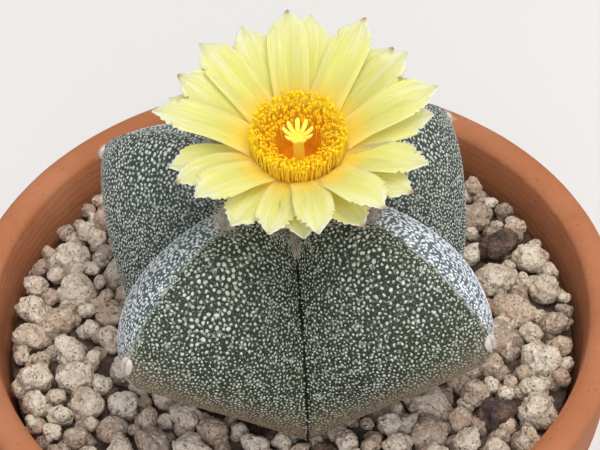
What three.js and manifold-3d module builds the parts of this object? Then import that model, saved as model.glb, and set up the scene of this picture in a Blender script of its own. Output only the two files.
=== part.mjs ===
// Potted bishop's cap cactus: a four-ribbed plant in flower, in a terracotta pot dressed with pumice.
// Millimetres, +Z up. The origin is the middle of the pot's underside.
import * as THREE from 'three';
import { mergeVertices } from 'three/addons/utils/BufferGeometryUtils.js';
import Module from 'manifold-3d';

const wasm = await Module();
wasm.setup();

// ---- driving dimensions -------------------------------------------------------------------

const POT_HEIGHT = 95;
const POT_BASE_RADIUS = 52;
const COLLAR_HEIGHT = 20;
const COLLAR_LOW_RADIUS = 73;
const LIP_RADIUS = 75.2;
const LIP_INNER_RADIUS = 68.4;
const BODY_TOP_RADIUS = 69.5;
const POT_FLOOR = 8;
const INNER_TOP_RADIUS = 66.8;
const INNER_FLOOR_RADIUS = 45;
const DRAIN_RADIUS = 6;

const GAP = 0.3; // clearance between pieces that touch
const FLATS = 0.45; // room for the flats of the pot's faceted wall
const DRESSING_BOTTOM = 75;
const DRESSING_LEVEL = 87; // level of the pebbles round the plant
const SLAB_TOP = DRESSING_LEVEL - 1.8;
const PEBBLE_TOP = DRESSING_LEVEL + 1.3;
const PEBBLE_SIZES = [
  { radius: 5.4, tries: 50 },
  { radius: 4.5, tries: 200 },
  { radius: 3.8, tries: 900 },
  { radius: 3.2, tries: 3000 },
];

const CROWDING = 0.83; // how near two pebbles come, as a share of their radii

const PLANT_X = 1.1;
const PLANT_Y = -1.6;
// Four ribs, each with the direction of its crest, and the furrow that follows it.
const RIBS = [
  { angle: -135.3, reach: 0.985, furrowReach: 1.04 },
  { angle: -38.6, reach: 1.025, furrowReach: 1.12 },
  { angle: 45.6, reach: 1.02, furrowReach: 1.05 },
  { angle: 144.8, reach: 1.015, furrowReach: 1.08 },
];
// Meridians as radius and height above the dressing, from the woolly crown down to the taproot.
const CREST = [
  [0, 43], [7, 45.2], [15, 47.2], [25, 47.2], [35, 44.4], [43, 39.7], [48.8, 34.4], [51.8, 29],
  [51.2, 24], [46.5, 17], [39, 9], [31, 0], [22, -6], [10, -9], [6.5, -13], [4.2, -25], [0, -36],
];
const FURROW = [
  [0, 43], [4, 41.8], [9, 40], [15, 37.2], [21, 33], [26, 28], [30, 22], [32.6, 16],
  [33.8, 10], [33.8, 5], [32.4, 0], [27, -5], [20, -7.5], [10, -9], [6.5, -13], [4.2, -25], [0, -36],
];
const ROOT_STATION = 13; // from this station down the section is round
const FLANK_BULGE = 5.2;
const FLANK_FULLNESS = 2.3;
const BULGE_CENTRE = 18;
const TIP_STATION = 6.9;
const CROWN_AREOLE_STATION = 2.5;

const FLOWER = new THREE.Vector3(3.1, -3.3, 145);
const FLOWER_TILT = THREE.MathUtils.degToRad(9);
const TUBE_LENGTH = 16;
const TUBE_RADIUS = 11;
const THROAT_RADIUS = 9.6;
const CUP_FLOOR = -6;
const SCALE_ROWS = 3;
const SCALES_PER_ROW = 7;
// Direction and layer of each petal, layer 0 being the lowest.
const PETALS = [
  [2, 1], [11, 2], [25, 0], [37, 1], [46, 0], [60, 2], [81, 1], [95, 2], [112, 1], [132, 2], [151, 1],
  [160, 0], [172, 2], [195, 0], [206, 1], [221, 2], [238, 0], [256, 1], [270, 0], [278, 2], [297, 0],
  [306, 2], [325, 0], [337, 1],
];
const PETAL_ROOT = 10.4;
const PETAL_REACH = 30;
const PETAL_WIDTH = 7.9;
const PETAL_THICKNESS = 0.7;
const LAYER_STEP = 0.9;
const STAMEN_RING = 10.4;
const STAMEN_HEIGHT = 8;
const STAMEN_ROWS = [
  { radius: 9.9, count: 21, height: 7.5 },
  { radius: 8, count: 16, height: 6.5 },
  { radius: 6.2, count: 11, height: 5.4 },
];
const STYLE_RADIUS = 1.25;
const STIGMA_HEIGHT = 4.7;
const STIGMA_RISE = 2.8;
const STIGMA_LOBES = 9;
const STIGMA_REACH = 3.3;

// ---- helpers ------------------------------------------------------------------------------

const TURN = 2 * Math.PI;

/** Repeatable random draws between 0 and 1. */
function makeDraw(seed) {
  let state = seed;
  return () => {
    state = (state * 16807) % 2147483647;
    return state / 2147483647;
  };
}

const smooth = (x) => {
  const t = Math.min(Math.max(x, 0), 1);
  return t * t * (3 - 2 * t);
};

/** A closed geometry with its shared vertices merged. */
function weld(geometry) {
  geometry.deleteAttribute('normal');
  geometry.deleteAttribute('uv');
  return mergeVertices(geometry, 1e-3);
}

function toSolid(geometry) {
  const welded = weld(geometry);
  return new wasm.Manifold(new wasm.Mesh({
    numProp: 3,
    vertProperties: Float32Array.from(welded.attributes.position.array),
    triVerts: Uint32Array.from(welded.index.array),
  }));
}

function toGeometry(solid) {
  const mesh = solid.getMesh();
  const geometry = new THREE.BufferGeometry();
  geometry.setAttribute('position', new THREE.BufferAttribute(Float32Array.from(mesh.vertProperties), 3));
  geometry.setIndex(new THREE.BufferAttribute(Uint32Array.from(mesh.triVerts), 1));
  geometry.computeVertexNormals();
  return geometry;
}

/** Joins solids two by two until one is left. */
function join(solids) {
  let row = solids;
  while (row.length > 1) {
    const next = [];
    for (let i = 0; i < row.length; i += 2) {
      next.push(i + 1 < row.length ? row[i].add(row[i + 1]) : row[i]);
    }
    row = next;
  }
  return row[0];
}

/** A solid turned about Z from a closed or axis-to-axis profile of [radius, height] points. */
function lathe(profile, segments) {
  const points = profile.map(([r, z]) => new THREE.Vector2(r, z));
  const geometry = new THREE.LatheGeometry(points, segments);
  geometry.rotateX(Math.PI / 2);
  return geometry;
}

/** A smooth line through [radius, height] points, read at a station counted in points. */
function meridian(points, scale) {
  const line = new THREE.SplineCurve(points.map(([r, z]) => new THREE.Vector2(r, z)));
  return (station) => {
    const p = line.getPoint(station / (points.length - 1));
    return new THREE.Vector2(p.x * scale(station), p.y);
  };
}

/**
 * A closed blade whose two faces are split alike. `place(u, v)` gives a point of its middle
 * surface, u along it from 0 to 1 and v across it from -1 to 1, and `up(u)` its facing.
 */
function blade(place, up, thickness, rows, columns) {
  const positions = [];
  for (const side of [1, -1]) {
    for (let i = 0; i <= rows; i += 1) {
      const u = i / rows;
      const offset = up(u).multiplyScalar((side * thickness) / 2);
      for (let j = 0; j <= columns; j += 1) {
        const p = place(u, (2 * j) / columns - 1).add(offset);
        positions.push(p.x, p.y, p.z);
      }
    }
  }
  const wide = columns + 1;
  const under = (rows + 1) * wide;
  const index = [];
  for (let i = 0; i < rows; i += 1) {
    for (let j = 0; j < columns; j += 1) {
      const a = i * wide + j;
      const [b, c, d] = [a + wide, a + wide + 1, a + 1];
      index.push(a, b, c, a, c, d);
      index.push(under + a, under + c, under + b, under + a, under + d, under + c);
    }
  }
  const rim = [];
  for (let j = 0; j < columns; j += 1) rim.push(j);
  for (let i = 0; i < rows; i += 1) rim.push(i * wide + columns);
  for (let j = columns; j > 0; j -= 1) rim.push(rows * wide + j);
  for (let i = rows; i > 0; i -= 1) rim.push(i * wide);
  rim.forEach((a, k) => {
    const b = rim[(k + 1) % rim.length];
    index.push(a, b, under + b, a, under + b, under + a);
  });
  const geometry = new THREE.BufferGeometry();
  geometry.setAttribute('position', new THREE.Float32BufferAttribute(positions, 3));
  geometry.setIndex(index);
  return geometry;
}

// ---- pot, soil ----------------------------------------------------------------------------

function makePot() {
  const under = POT_HEIGHT - COLLAR_HEIGHT;
  const path = new THREE.Path();
  path.moveTo(DRAIN_RADIUS, 0);
  path.lineTo(POT_BASE_RADIUS - 1.5, 0);
  path.quadraticCurveTo(POT_BASE_RADIUS, 0, POT_BASE_RADIUS + 0.4, 1.6);
  path.lineTo(BODY_TOP_RADIUS, under - 1);
  path.quadraticCurveTo(BODY_TOP_RADIUS + 0.4, under, BODY_TOP_RADIUS + 1.4, under);
  path.lineTo(COLLAR_LOW_RADIUS - 0.8, under);
  path.quadraticCurveTo(COLLAR_LOW_RADIUS, under, COLLAR_LOW_RADIUS + 0.1, under + 1);
  path.lineTo(LIP_RADIUS, POT_HEIGHT - 3);
  path.quadraticCurveTo(LIP_RADIUS, POT_HEIGHT, (LIP_RADIUS + LIP_INNER_RADIUS) / 2, POT_HEIGHT);
  path.quadraticCurveTo(LIP_INNER_RADIUS, POT_HEIGHT, LIP_INNER_RADIUS - 0.4, POT_HEIGHT - 2);
  path.quadraticCurveTo(INNER_TOP_RADIUS + 0.4, DRESSING_LEVEL + 3, INNER_TOP_RADIUS, DRESSING_LEVEL - 4);
  path.lineTo(INNER_FLOOR_RADIUS, POT_FLOOR + 4);
  path.quadraticCurveTo(INNER_FLOOR_RADIUS - 1, POT_FLOOR, INNER_FLOOR_RADIUS - 5, POT_FLOOR);
  path.lineTo(DRAIN_RADIUS, POT_FLOOR);
  const profile = path.getPoints(2).map((p) => [p.x, p.y]);
  profile.push(profile[0]);
  return lathe(profile, 40);
}

/** Radius of the pot's inner wall at a height below the dressing. */
const innerRadius = (z) => THREE.MathUtils.mapLinear(
  z, POT_FLOOR + 4, DRESSING_LEVEL - 4, INNER_FLOOR_RADIUS, INNER_TOP_RADIUS,
);

function makeSoil() {
  const top = DRESSING_BOTTOM;
  const bottom = POT_FLOOR + GAP;
  const wallGap = GAP + FLATS;
  const body = toSolid(lathe([
    [0, bottom],
    [INNER_FLOOR_RADIUS - 6, bottom],
    [innerRadius(POT_FLOOR + 5) - wallGap, POT_FLOOR + 5],
    [innerRadius(top) - wallGap, top],
    [0, top],
  ], 36));
  return toGeometry(body.subtract(plant(GAP)));
}

// ---- plant --------------------------------------------------------------------------------

const crownToRoot = CREST.length - 1;
const reachAt = (reach) => (station) => 1 + (reach - 1) * (1 - smooth((station - 9) / 4));
const crests = RIBS.map((rib) => meridian(CREST, reachAt(rib.reach)));
const furrows = RIBS.map((rib) => meridian(FURROW, reachAt(rib.furrowReach)));

const bulgeAlong = (station) => FLANK_BULGE * smooth(station / 3.6) * (1 - smooth((station - 4.8) / 5.7));
const bulgeAcross = (q) => 1 - Math.abs(2 * q - 1) ** FLANK_FULLNESS;

function onMeridian(line, angle, station) {
  const p = line(station);
  return new THREE.Vector3(p.x * Math.cos(angle), p.x * Math.sin(angle), p.y);
}

/** Point of the skin: round = 0 to 8 counts half ribs, whole even numbers being the crests. */
function skinPoint(round, station) {
  const half = Math.floor(round) % 8;
  const rib = Math.floor((half + 1) / 2) % 4;
  const furrow = Math.floor(half / 2);
  const t = round - Math.floor(round);
  const q = half % 2 === 0 ? 1 - t : t;
  const [a, b] = [RIBS[furrow].angle, RIBS[(furrow + 1) % 4].angle];
  const furrowAngle = THREE.MathUtils.degToRad(a + ((b - a + 360) % 360) / 2);
  const crestAngle = THREE.MathUtils.degToRad(RIBS[rib].angle);
  const crest = onMeridian(crests[rib], crestAngle, station);
  const valley = onMeridian(furrows[furrow], furrowAngle, station);
  const p = valley.lerp(crest, q);
  if (station >= ROOT_STATION) {
    // The root is round, so the chord between crest and furrow is pushed out to its circle.
    const radius = crests[0](station).x;
    const flat = Math.hypot(p.x, p.y);
    if (flat > 1e-6) p.set((p.x * radius) / flat, (p.y * radius) / flat, p.z);
    return p;
  }
  const out = p.clone().sub(new THREE.Vector3(0, 0, BULGE_CENTRE)).normalize();
  return p.addScaledVector(out, bulgeAlong(station) * bulgeAcross(q));
}

/** The plant's skin from crown to taproot, grown outwards by a clearance. */
function skin(clearance) {
  const across = 32;
  const stations = [];
  for (let s = 0; s <= 12; s += 0.5) stations.push(s);
  for (let s = ROOT_STATION; s <= crownToRoot; s += 1) stations.push(s);
  const positions = [];
  stations.forEach((station) => {
    for (let i = 0; i < across; i += 1) {
      const p = skinPoint((i * 8) / across, station);
      positions.push(p.x, p.y, p.z);
    }
  });
  const index = [];
  for (let r = 0; r < stations.length - 1; r += 1) {
    for (let i = 0; i < across; i += 1) {
      const a = r * across + i;
      const d = r * across + ((i + 1) % across);
      const [b, c] = [a + across, d + across];
      if (r > 0) index.push(a, b, d);
      if (r < stations.length - 2) index.push(d, b, c);
    }
  }
  const geometry = new THREE.BufferGeometry();
  geometry.setAttribute('position', new THREE.Float32BufferAttribute(positions, 3));
  geometry.setIndex(index);
  const welded = weld(geometry);
  if (clearance > 0) {
    welded.computeVertexNormals();
    const { position, normal } = welded.attributes;
    for (let i = 0; i < position.count; i += 1) {
      position.setXYZ(
        i,
        position.getX(i) + normal.getX(i) * clearance,
        position.getY(i) + normal.getY(i) * clearance,
        position.getZ(i) + normal.getZ(i) * clearance,
      );
    }
  }
  welded.translate(PLANT_X, PLANT_Y, DRESSING_LEVEL);
  return welded;
}

function plant(clearance) {
  return toSolid(skin(clearance));
}

/** A woolly cushion on a crest. */
function areole(rib, station, radius) {
  const angle = THREE.MathUtils.degToRad(RIBS[rib].angle);
  const at = onMeridian(crests[rib], angle, station);
  const cushion = new THREE.SphereGeometry(radius, 7, 4);
  cushion.translate(PLANT_X + at.x, PLANT_Y + at.y, DRESSING_LEVEL + at.z);
  return toSolid(cushion);
}

function makeBody() {
  const cushions = RIBS.flatMap((_, rib) => [
    areole(rib, TIP_STATION, 1.5),
    areole(rib, CROWN_AREOLE_STATION, 2.2),
  ]);
  return toGeometry(join([plant(0), ...cushions]));
}

// ---- dressing -----------------------------------------------------------------------------

/** Places pebbles of falling size in the ring between plant and wall, each clear of the others. */
function placePebbles() {
  const draw = makeDraw(4127);
  const stem = [];
  for (let station = 7.5; station <= 12; station += 0.5) {
    for (let round = 0; round < 8; round += 0.125) {
      stem.push(skinPoint(round, station).add(new THREE.Vector3(PLANT_X, PLANT_Y, DRESSING_LEVEL)));
    }
  }
  const pebbles = [];
  PEBBLE_SIZES.forEach(({ radius, tries }) => {
    for (let n = 0; n < tries; n += 1) {
      const r = radius * (0.9 + 0.2 * draw());
      const far = INNER_TOP_RADIUS - r - 0.5;
      const distance = far * Math.sqrt(0.15 + 0.85 * draw());
      const angle = TURN * draw();
      const height = Math.min(PEBBLE_TOP - 0.8 * r, SLAB_TOP - 0.1);
      const centre = new THREE.Vector3(distance * Math.cos(angle), distance * Math.sin(angle), height);
      const free = pebbles.every((p) => p.centre.distanceTo(centre) > CROWDING * (p.r + r));
      if (free && stem.every((p) => p.distanceTo(centre) > r + 0.2)) {
        pebbles.push({ centre, r });
      }
    }
  });
  return pebbles;
}

/** A broken lump of pumice. */
function pebble(centre, radius, draw) {
  const lump = weld(new THREE.IcosahedronGeometry(radius, 0));
  const { position } = lump.attributes;
  for (let i = 0; i < position.count; i += 1) {
    const k = 1.04 + 0.2 * draw();
    position.setXYZ(i, position.getX(i) * k, position.getY(i) * k, position.getZ(i) * k);
  }
  lump.scale(1, 0.88, 0.8);
  lump.rotateZ(TURN * draw());
  lump.translate(centre.x, centre.y, centre.z);
  return toSolid(lump);
}

function makeGravel() {
  const draw = makeDraw(911);
  const bottom = DRESSING_BOTTOM + GAP;
  const wallGap = GAP + FLATS;
  const slab = toSolid(lathe([
    [0, bottom],
    [innerRadius(bottom) - wallGap, bottom],
    [innerRadius(SLAB_TOP - 2.2) - wallGap, SLAB_TOP - 2.2],
    [INNER_TOP_RADIUS - wallGap, SLAB_TOP],
    [0, SLAB_TOP],
  ], 36));
  const lumps = placePebbles().map(({ centre, r }) => pebble(centre, r, draw));
  return toGeometry(join([slab, ...lumps]).subtract(plant(GAP)));
}

// ---- flower -------------------------------------------------------------------------------

/** The flower's own place: its axis leans forward from the crown. */
const flowerPlace = new THREE.Matrix4()
  .makeTranslation(FLOWER.x, FLOWER.y, FLOWER.z)
  .multiply(new THREE.Matrix4().makeRotationX(FLOWER_TILT));

const polar = (radius, angle, z) => new THREE.Vector3(radius * Math.cos(angle), radius * Math.sin(angle), z);

/** The scaly tube that carries petals, stamens and pistil. */
function makeTube() {
  const cup = toSolid(lathe([
    [0, -TUBE_LENGTH - 3],
    [4, -TUBE_LENGTH - 3],
    [4.6, -12],
    [6.2, -7.5],
    [8.6, -3],
    [TUBE_RADIUS, 0],
    [THROAT_RADIUS, 0],
    [THROAT_RADIUS - 1, -1.4],
    [6.3, CUP_FLOOR],
    [0, CUP_FLOOR - 0.3],
  ], 20));
  const scales = [];
  for (let row = 0; row < SCALE_ROWS; row += 1) {
    for (let n = 0; n < SCALES_PER_ROW; n += 1) {
      const angle = (TURN * (n + row / 2)) / SCALES_PER_ROW;
      const low = -10 + row * 3.1;
      const root = 5 + row * 1.2;
      const place = (u, v) => {
        const wide = (1.4 * (1 - 0.9 * u) * v) / (root + 2.5 * u);
        return polar(root + 2.7 * u, angle + wide, low + 3.2 * u);
      };
      const up = () => polar(0.8, angle + Math.PI, 0.6);
      scales.push(toSolid(blade(place, up, 0.7, 1, 2)));
    }
  }
  const tube = join([cup, ...scales]).transform(flowerPlace.elements);
  return toGeometry(tube.subtract(plant(GAP + 0.05)).subtract(crownCushions()));
}

/** The cushions near the crown, grown by the clearance that the tube keeps to them. */
function crownCushions() {
  return join(RIBS.map((_, rib) => areole(rib, CROWN_AREOLE_STATION, 2.2 + GAP)));
}

/** Half width of a petal along its length, with a broad outer third and a short point. */
const petalHalf = (u) => (PETAL_WIDTH / 2) * (0.66 + 0.34 * smooth(u / 0.6)) * (1 - 0.92 * smooth((u - 0.64) / 0.38) ** 1.5);

function petal(angle, layer, draw) {
  const reach = PETAL_REACH + Math.sin(angle) - 0.6 * (2 - layer) + 1.2 * (draw() - 0.5);
  const length = reach - PETAL_ROOT;
  const rise = THREE.MathUtils.degToRad(24 + 4 * layer + 5 * (draw() - 0.5));
  const fall = THREE.MathUtils.degToRad(12 + 6 * (draw() - 0.5));
  const width = 0.92 + 0.14 * draw();
  const low = 0.75 + layer * LAYER_STEP;
  const slope = (u) => Math.tan(rise) * u + ((Math.tan(fall) - Math.tan(rise)) * u * u) / 2;
  const place = (u, v) => {
    const across = petalHalf(u) * width * v;
    const along = PETAL_ROOT + length * u;
    const lift = low + length * slope(u) + 0.9 * v * v * Math.sin(Math.PI * u);
    return new THREE.Vector3(along, across, lift).applyAxisAngle(new THREE.Vector3(0, 0, 1), angle);
  };
  const up = (u) => {
    const grade = Math.tan(rise) + (Math.tan(fall) - Math.tan(rise)) * u;
    return new THREE.Vector3(-grade, 0, 1).normalize().applyAxisAngle(new THREE.Vector3(0, 0, 1), angle);
  };
  return toSolid(blade(place, up, PETAL_THICKNESS, 5, 2));
}

function makePetals() {
  const draw = makeDraw(73);
  const collar = toSolid(lathe([
    [THROAT_RADIUS + 0.3, GAP],
    [TUBE_RADIUS + 0.4, GAP],
    [TUBE_RADIUS + 1.2, 1.4],
    [TUBE_RADIUS + 0.4, 2.9],
    [THROAT_RADIUS + 0.3, 2.9],
    [THROAT_RADIUS + 0.3, GAP],
  ], 30));
  const blades = PETALS.map(([degrees, layer]) => petal(THREE.MathUtils.degToRad(degrees), layer, draw));
  return toGeometry(join([collar, ...blades]));
}

/** A filament from the core's top to its anther. */
function stamen(radius, angle, height, lean) {
  const from = polar(radius - 0.7, angle, height - 2.9);
  const to = polar(radius + lean, angle, height);
  const axis = to.clone().sub(from);
  const filament = new THREE.CylinderGeometry(0.3, 0.42, axis.length(), 3, 1);
  filament.applyQuaternion(new THREE.Quaternion().setFromUnitVectors(
    new THREE.Vector3(0, 1, 0),
    axis.clone().normalize(),
  ));
  filament.translate((from.x + to.x) / 2, (from.y + to.y) / 2, (from.z + to.z) / 2);
  const anther = new THREE.OctahedronGeometry(0.8, 0);
  anther.scale(0.8, 0.8, 1.1);
  anther.translate(to.x, to.y, to.z);
  return toSolid(filament).add(toSolid(anther));
}

function makeStamens() {
  const draw = makeDraw(29);
  const core = toSolid(lathe([
    [4.4, CUP_FLOOR + 0.25],
    [5.9, CUP_FLOOR + 0.35],
    [THROAT_RADIUS - 1.6, -1.2],
    [THROAT_RADIUS - 0.6, GAP],
    [THROAT_RADIUS - 0.2, 3.4],
    [STAMEN_RING - 0.6, STAMEN_HEIGHT - 2.8],
    [STAMEN_RING - 2, STAMEN_HEIGHT - 2.5],
    [6, STAMEN_HEIGHT - 4.4],
    [4.6, 2.2],
    [4.4, CUP_FLOOR + 0.25],
  ], 20));
  const stamens = STAMEN_ROWS.flatMap(({ radius, count, height }) => {
    const row = [];
    for (let n = 0; n < count; n += 1) {
      const angle = (TURN * (n + 0.4 * draw())) / count;
      row.push(stamen(radius, angle, height + 0.8 * (draw() - 0.5), 0.5 * (draw() - 0.5)));
    }
    return row;
  });
  return toGeometry(join([core, ...stamens]));
}

/** The style with its crown of spreading stigma lobes. */
function makePistil() {
  const bottom = CUP_FLOOR + 0.1;
  const style = new THREE.CylinderGeometry(STYLE_RADIUS * 1.2, STYLE_RADIUS, STIGMA_HEIGHT - bottom, 10, 1);
  style.rotateX(Math.PI / 2);
  style.translate(0, 0, (STIGMA_HEIGHT + bottom) / 2);
  const lobes = [];
  for (let n = 0; n < STIGMA_LOBES; n += 1) {
    const angle = (TURN * n) / STIGMA_LOBES;
    const route = new THREE.QuadraticBezierCurve3(
      polar(0.3, angle, STIGMA_HEIGHT - 1.4),
      polar(1.5, angle, STIGMA_HEIGHT + 0.5),
      polar(STIGMA_REACH, angle, STIGMA_HEIGHT + STIGMA_RISE - 0.5),
    );
    const section = new THREE.Shape().absarc(0, 0, 0.55, 0, TURN, false);
    lobes.push(toSolid(new THREE.ExtrudeGeometry(section, { extrudePath: route, steps: 2, curveSegments: 3 })));
  }
  return toGeometry(join([toSolid(style), ...lobes]));
}

// ---- assembly -----------------------------------------------------------------------------

function piece(name, geometry, color, roughness) {
  const material = new THREE.MeshStandardMaterial({ color, roughness, metalness: 0 });
  const mesh = new THREE.Mesh(geometry, material);
  mesh.name = name;
  return mesh;
}

const flower = new THREE.Group();
flower.position.copy(FLOWER);
flower.rotation.x = FLOWER_TILT;
flower.add(
  piece('petals', makePetals(), 0xebe46e, 0.55),
  piece('stamens', makeStamens(), 0xf5bb1a, 0.7),
  piece('pistil', makePistil(), 0xf3e07a, 0.6),
);

const group = new THREE.Group();
group.add(
  piece('pot', makePot(), 0xc47a52, 0.85),
  piece('soil', makeSoil(), 0x4a382b, 0.95),
  piece('gravel', makeGravel(), 0xcdb79d, 0.95),
  piece('cactus_body', makeBody(), 0x5c6e59, 0.8),
  piece('flower_tube', makeTube(), 0x8d8a52, 0.8),
  flower,
);

export default group;
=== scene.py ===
"""Looks of a potted bishop's cap cactus in flower.

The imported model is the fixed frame. Every piece here is built in that frame, in metres, and stands for a
node of it: the clay pot, the pumice dressing, the flecked plant with its wool, and the flower. The classes
of pot, dressing, plant and flower give their sizes in millimetres, and MM turns them into metres.
"""

import logging
import math
from dataclasses import dataclass, field
from enum import Enum
from itertools import product
from typing import Any, Callable

import bmesh
import bpy
import numpy as np
from mathutils import Matrix, Vector, noise


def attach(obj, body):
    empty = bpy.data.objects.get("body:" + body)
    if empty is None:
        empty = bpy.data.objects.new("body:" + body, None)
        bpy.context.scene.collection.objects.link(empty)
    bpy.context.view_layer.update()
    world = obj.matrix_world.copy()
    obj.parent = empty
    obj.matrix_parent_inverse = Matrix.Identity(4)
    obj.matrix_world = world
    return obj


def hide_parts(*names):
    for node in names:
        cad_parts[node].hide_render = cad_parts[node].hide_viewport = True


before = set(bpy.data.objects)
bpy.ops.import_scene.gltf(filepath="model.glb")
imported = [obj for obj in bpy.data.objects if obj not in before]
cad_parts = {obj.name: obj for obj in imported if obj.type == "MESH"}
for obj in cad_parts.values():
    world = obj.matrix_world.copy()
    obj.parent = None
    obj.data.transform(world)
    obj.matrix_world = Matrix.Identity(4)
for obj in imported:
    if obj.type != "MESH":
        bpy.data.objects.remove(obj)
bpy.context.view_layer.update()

LOG = logging.getLogger("potted_cactus")

MM = 0.001
TURN = 2 * math.pi
BODY = "root"
STILL = np.eye(4)[None]
Colour = tuple[float, float, float, float]


class Node(Enum):
    """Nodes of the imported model."""

    POT = "pot"
    SOIL = "soil"
    GRAVEL = "gravel"
    PLANT = "cactus_body"
    TUBE = "flower_tube"
    PETALS = "petals"
    STAMENS = "stamens"
    PISTIL = "pistil"


class Slot(Enum):
    """Material slots of the record; several finishes carry the same names."""

    TERRACOTTA = "terracotta"
    PUMICE = "pumice"
    SKIN = "cactus_skin"
    TUBE = "flower_tube"
    PETAL = "petal"
    STAMEN = "stamen"
    PISTIL = "pistil"


# ---- small tools ----


def srgb(red: int, green: int, blue: int) -> Colour:
    """Turns a display colour into the linear colour that a shader takes.

    Args:
        red: Red from 0 to 255.
        green: Green from 0 to 255.
        blue: Blue from 0 to 255.

    Returns:
        The linear colour, opaque.
    """
    parts = [c / 255 for c in (red, green, blue)]
    lin = [c / 12.92 if c <= 0.04045 else ((c + 0.055) / 1.055) ** 2.4 for c in parts]
    return (lin[0], lin[1], lin[2], 1.0)


def smooth(x: np.ndarray | float) -> np.ndarray | float:
    """Rises from 0 to 1 with a soft start and end as x goes from 0 to 1."""
    t = np.clip(x, 0.0, 1.0)
    return t * t * (3 - 2 * t)


def hump(x: np.ndarray | float, width: float) -> np.ndarray | float:
    """Gives 1 where x is 0 and falls off softly on both sides over the width."""
    return np.exp(-((x / width) ** 2))


def polar(radii: np.ndarray | float, angles: np.ndarray, heights: np.ndarray) -> np.ndarray:
    """Gives points, as rows, from radii and angles about the Z axis and heights."""
    return np.stack([radii * np.cos(angles), radii * np.sin(angles), heights], axis=1)


def make_draw(seed: int) -> Callable[[], float]:
    """Makes the same repeatable draws between 0 and 1 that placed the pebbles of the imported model.

    Args:
        seed: First state of the draw.

    Returns:
        A function that gives the next draw.
    """
    state = seed

    def draw() -> float:
        nonlocal state
        state = (state * 16807) % 2147483647
        return state / 2147483647

    return draw


def bend(start: tuple, corner: tuple, end: tuple, steps: int = 8) -> list[tuple[float, float]]:
    """Rounds a corner of a profile.

    Args:
        start: Radius and height where the bend starts.
        corner: The corner that it rounds.
        end: Where it ends.
        steps: How many chords it has.

    Returns:
        The points of the bend, both ends included.
    """
    points = []
    for i in range(steps + 1):
        t = i / steps
        a, b, c = (1 - t) ** 2, 2 * t * (1 - t), t * t
        points.append(tuple(a * s + b * k + c * e for s, k, e in zip(start, corner, end)))
    return points


def turned(profile: list[tuple[float, float]], steps: int, closed: bool) -> bmesh.types.BMesh:
    """Spins a profile about the Z axis.

    Args:
        profile: Radius and height of each point, in millimetres.
        steps: How many steps the full turn takes.
        closed: Whether the last point joins the first.

    Returns:
        The turned shell, merged and facing outwards.
    """
    bm = bmesh.new()
    verts = [bm.verts.new((r * MM, 0, z * MM)) for r, z in profile]
    ends = verts[1:] + (verts[:1] if closed else [])
    edges = [bm.edges.new(pair) for pair in zip(verts, ends)]
    bmesh.ops.spin(
        bm, geom=verts + edges, cent=(0, 0, 0), axis=(0, 0, 1), angle=TURN, steps=steps, use_merge=True
    )
    bmesh.ops.remove_doubles(bm, verts=bm.verts, dist=1e-6)
    bmesh.ops.recalc_face_normals(bm, faces=bm.faces)
    return bm


def as_mesh(bm: bmesh.types.BMesh, name: str) -> bpy.types.Mesh:
    """Writes a bmesh to a mesh with smooth faces and frees it.

    Args:
        bm: The bmesh.
        name: The mesh's name.

    Returns:
        The mesh.
    """
    mesh = bpy.data.meshes.new(name)
    bm.to_mesh(mesh)
    bm.free()
    mesh.shade_smooth()
    return mesh


def as_own_mesh(bm: bmesh.types.BMesh, name: str) -> bpy.types.Mesh:
    """Writes a turned bmesh to a mesh in the flower's own millimetres and frees it."""
    mesh = as_mesh(bm, name)
    mesh.transform(Matrix.Scale(1 / MM, 4))
    return mesh


def strand(sides: int, foot: float, tip: float, cuts: int) -> bmesh.types.BMesh:
    """Makes a straight strand of length 1 along Z, cut across so that it can be bent.

    Args:
        sides: How many sides it has.
        foot: Radius of its foot.
        tip: Radius of its tip.
        cuts: How many cuts it has between foot and tip.

    Returns:
        The strand, its foot at 0.
    """
    bm = bmesh.new()
    bmesh.ops.create_cone(bm, cap_ends=True, segments=sides, radius1=foot, radius2=tip, depth=1.0)
    bmesh.ops.translate(bm, vec=(0, 0, 0.5), verts=bm.verts)
    upright = [e for e in bm.edges if abs(e.verts[0].co.z - e.verts[1].co.z) > 0.5]
    bmesh.ops.subdivide_edges(bm, edges=upright, cuts=cuts)
    return bm


def give_values(mesh: bpy.types.Mesh, name: str, values: np.ndarray) -> None:
    """Stores one number for each vertex under a name that a material reads."""
    layer = mesh.attributes.new(name, "FLOAT", "POINT")
    layer.data.foreach_set("value", np.ascontiguousarray(values, dtype=np.float32))


def read_values(mesh: bpy.types.Mesh, name: str) -> np.ndarray:
    """Reads the numbers that give_values stored."""
    values = np.empty(len(mesh.vertices), np.float32)
    mesh.attributes[name].data.foreach_get("value", values)
    return values


def positions(mesh: bpy.types.Mesh) -> np.ndarray:
    """Gives a mesh's vertex positions as rows of x, y and z."""
    flat = np.empty(len(mesh.vertices) * 3, np.float32)
    mesh.vertices.foreach_get("co", flat)
    return flat.reshape(-1, 3).astype(float)


def add_object(name: str, data: bpy.types.ID) -> bpy.types.Object:
    """Puts a mesh, a lamp or a camera in the scene."""
    thing = bpy.data.objects.new(name, data)
    bpy.context.scene.collection.objects.link(thing)
    return thing


def place_piece(
    mesh: bpy.types.Mesh, name: str, node: Node, material: bpy.types.Material
) -> None:
    """Puts a finished mesh in the scene as a piece of the object.

    Args:
        mesh: The mesh, in its place.
        name: The piece's name.
        node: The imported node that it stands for.
        material: Its finish.
    """
    mesh.materials.clear()
    mesh.materials.append(material)
    piece = add_object(name, mesh)
    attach(piece, BODY)
    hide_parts(node.value)
    mesh.calc_loop_triangles()
    LOG.info("%s: %d triangles", name, len(mesh.loop_triangles))


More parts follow.
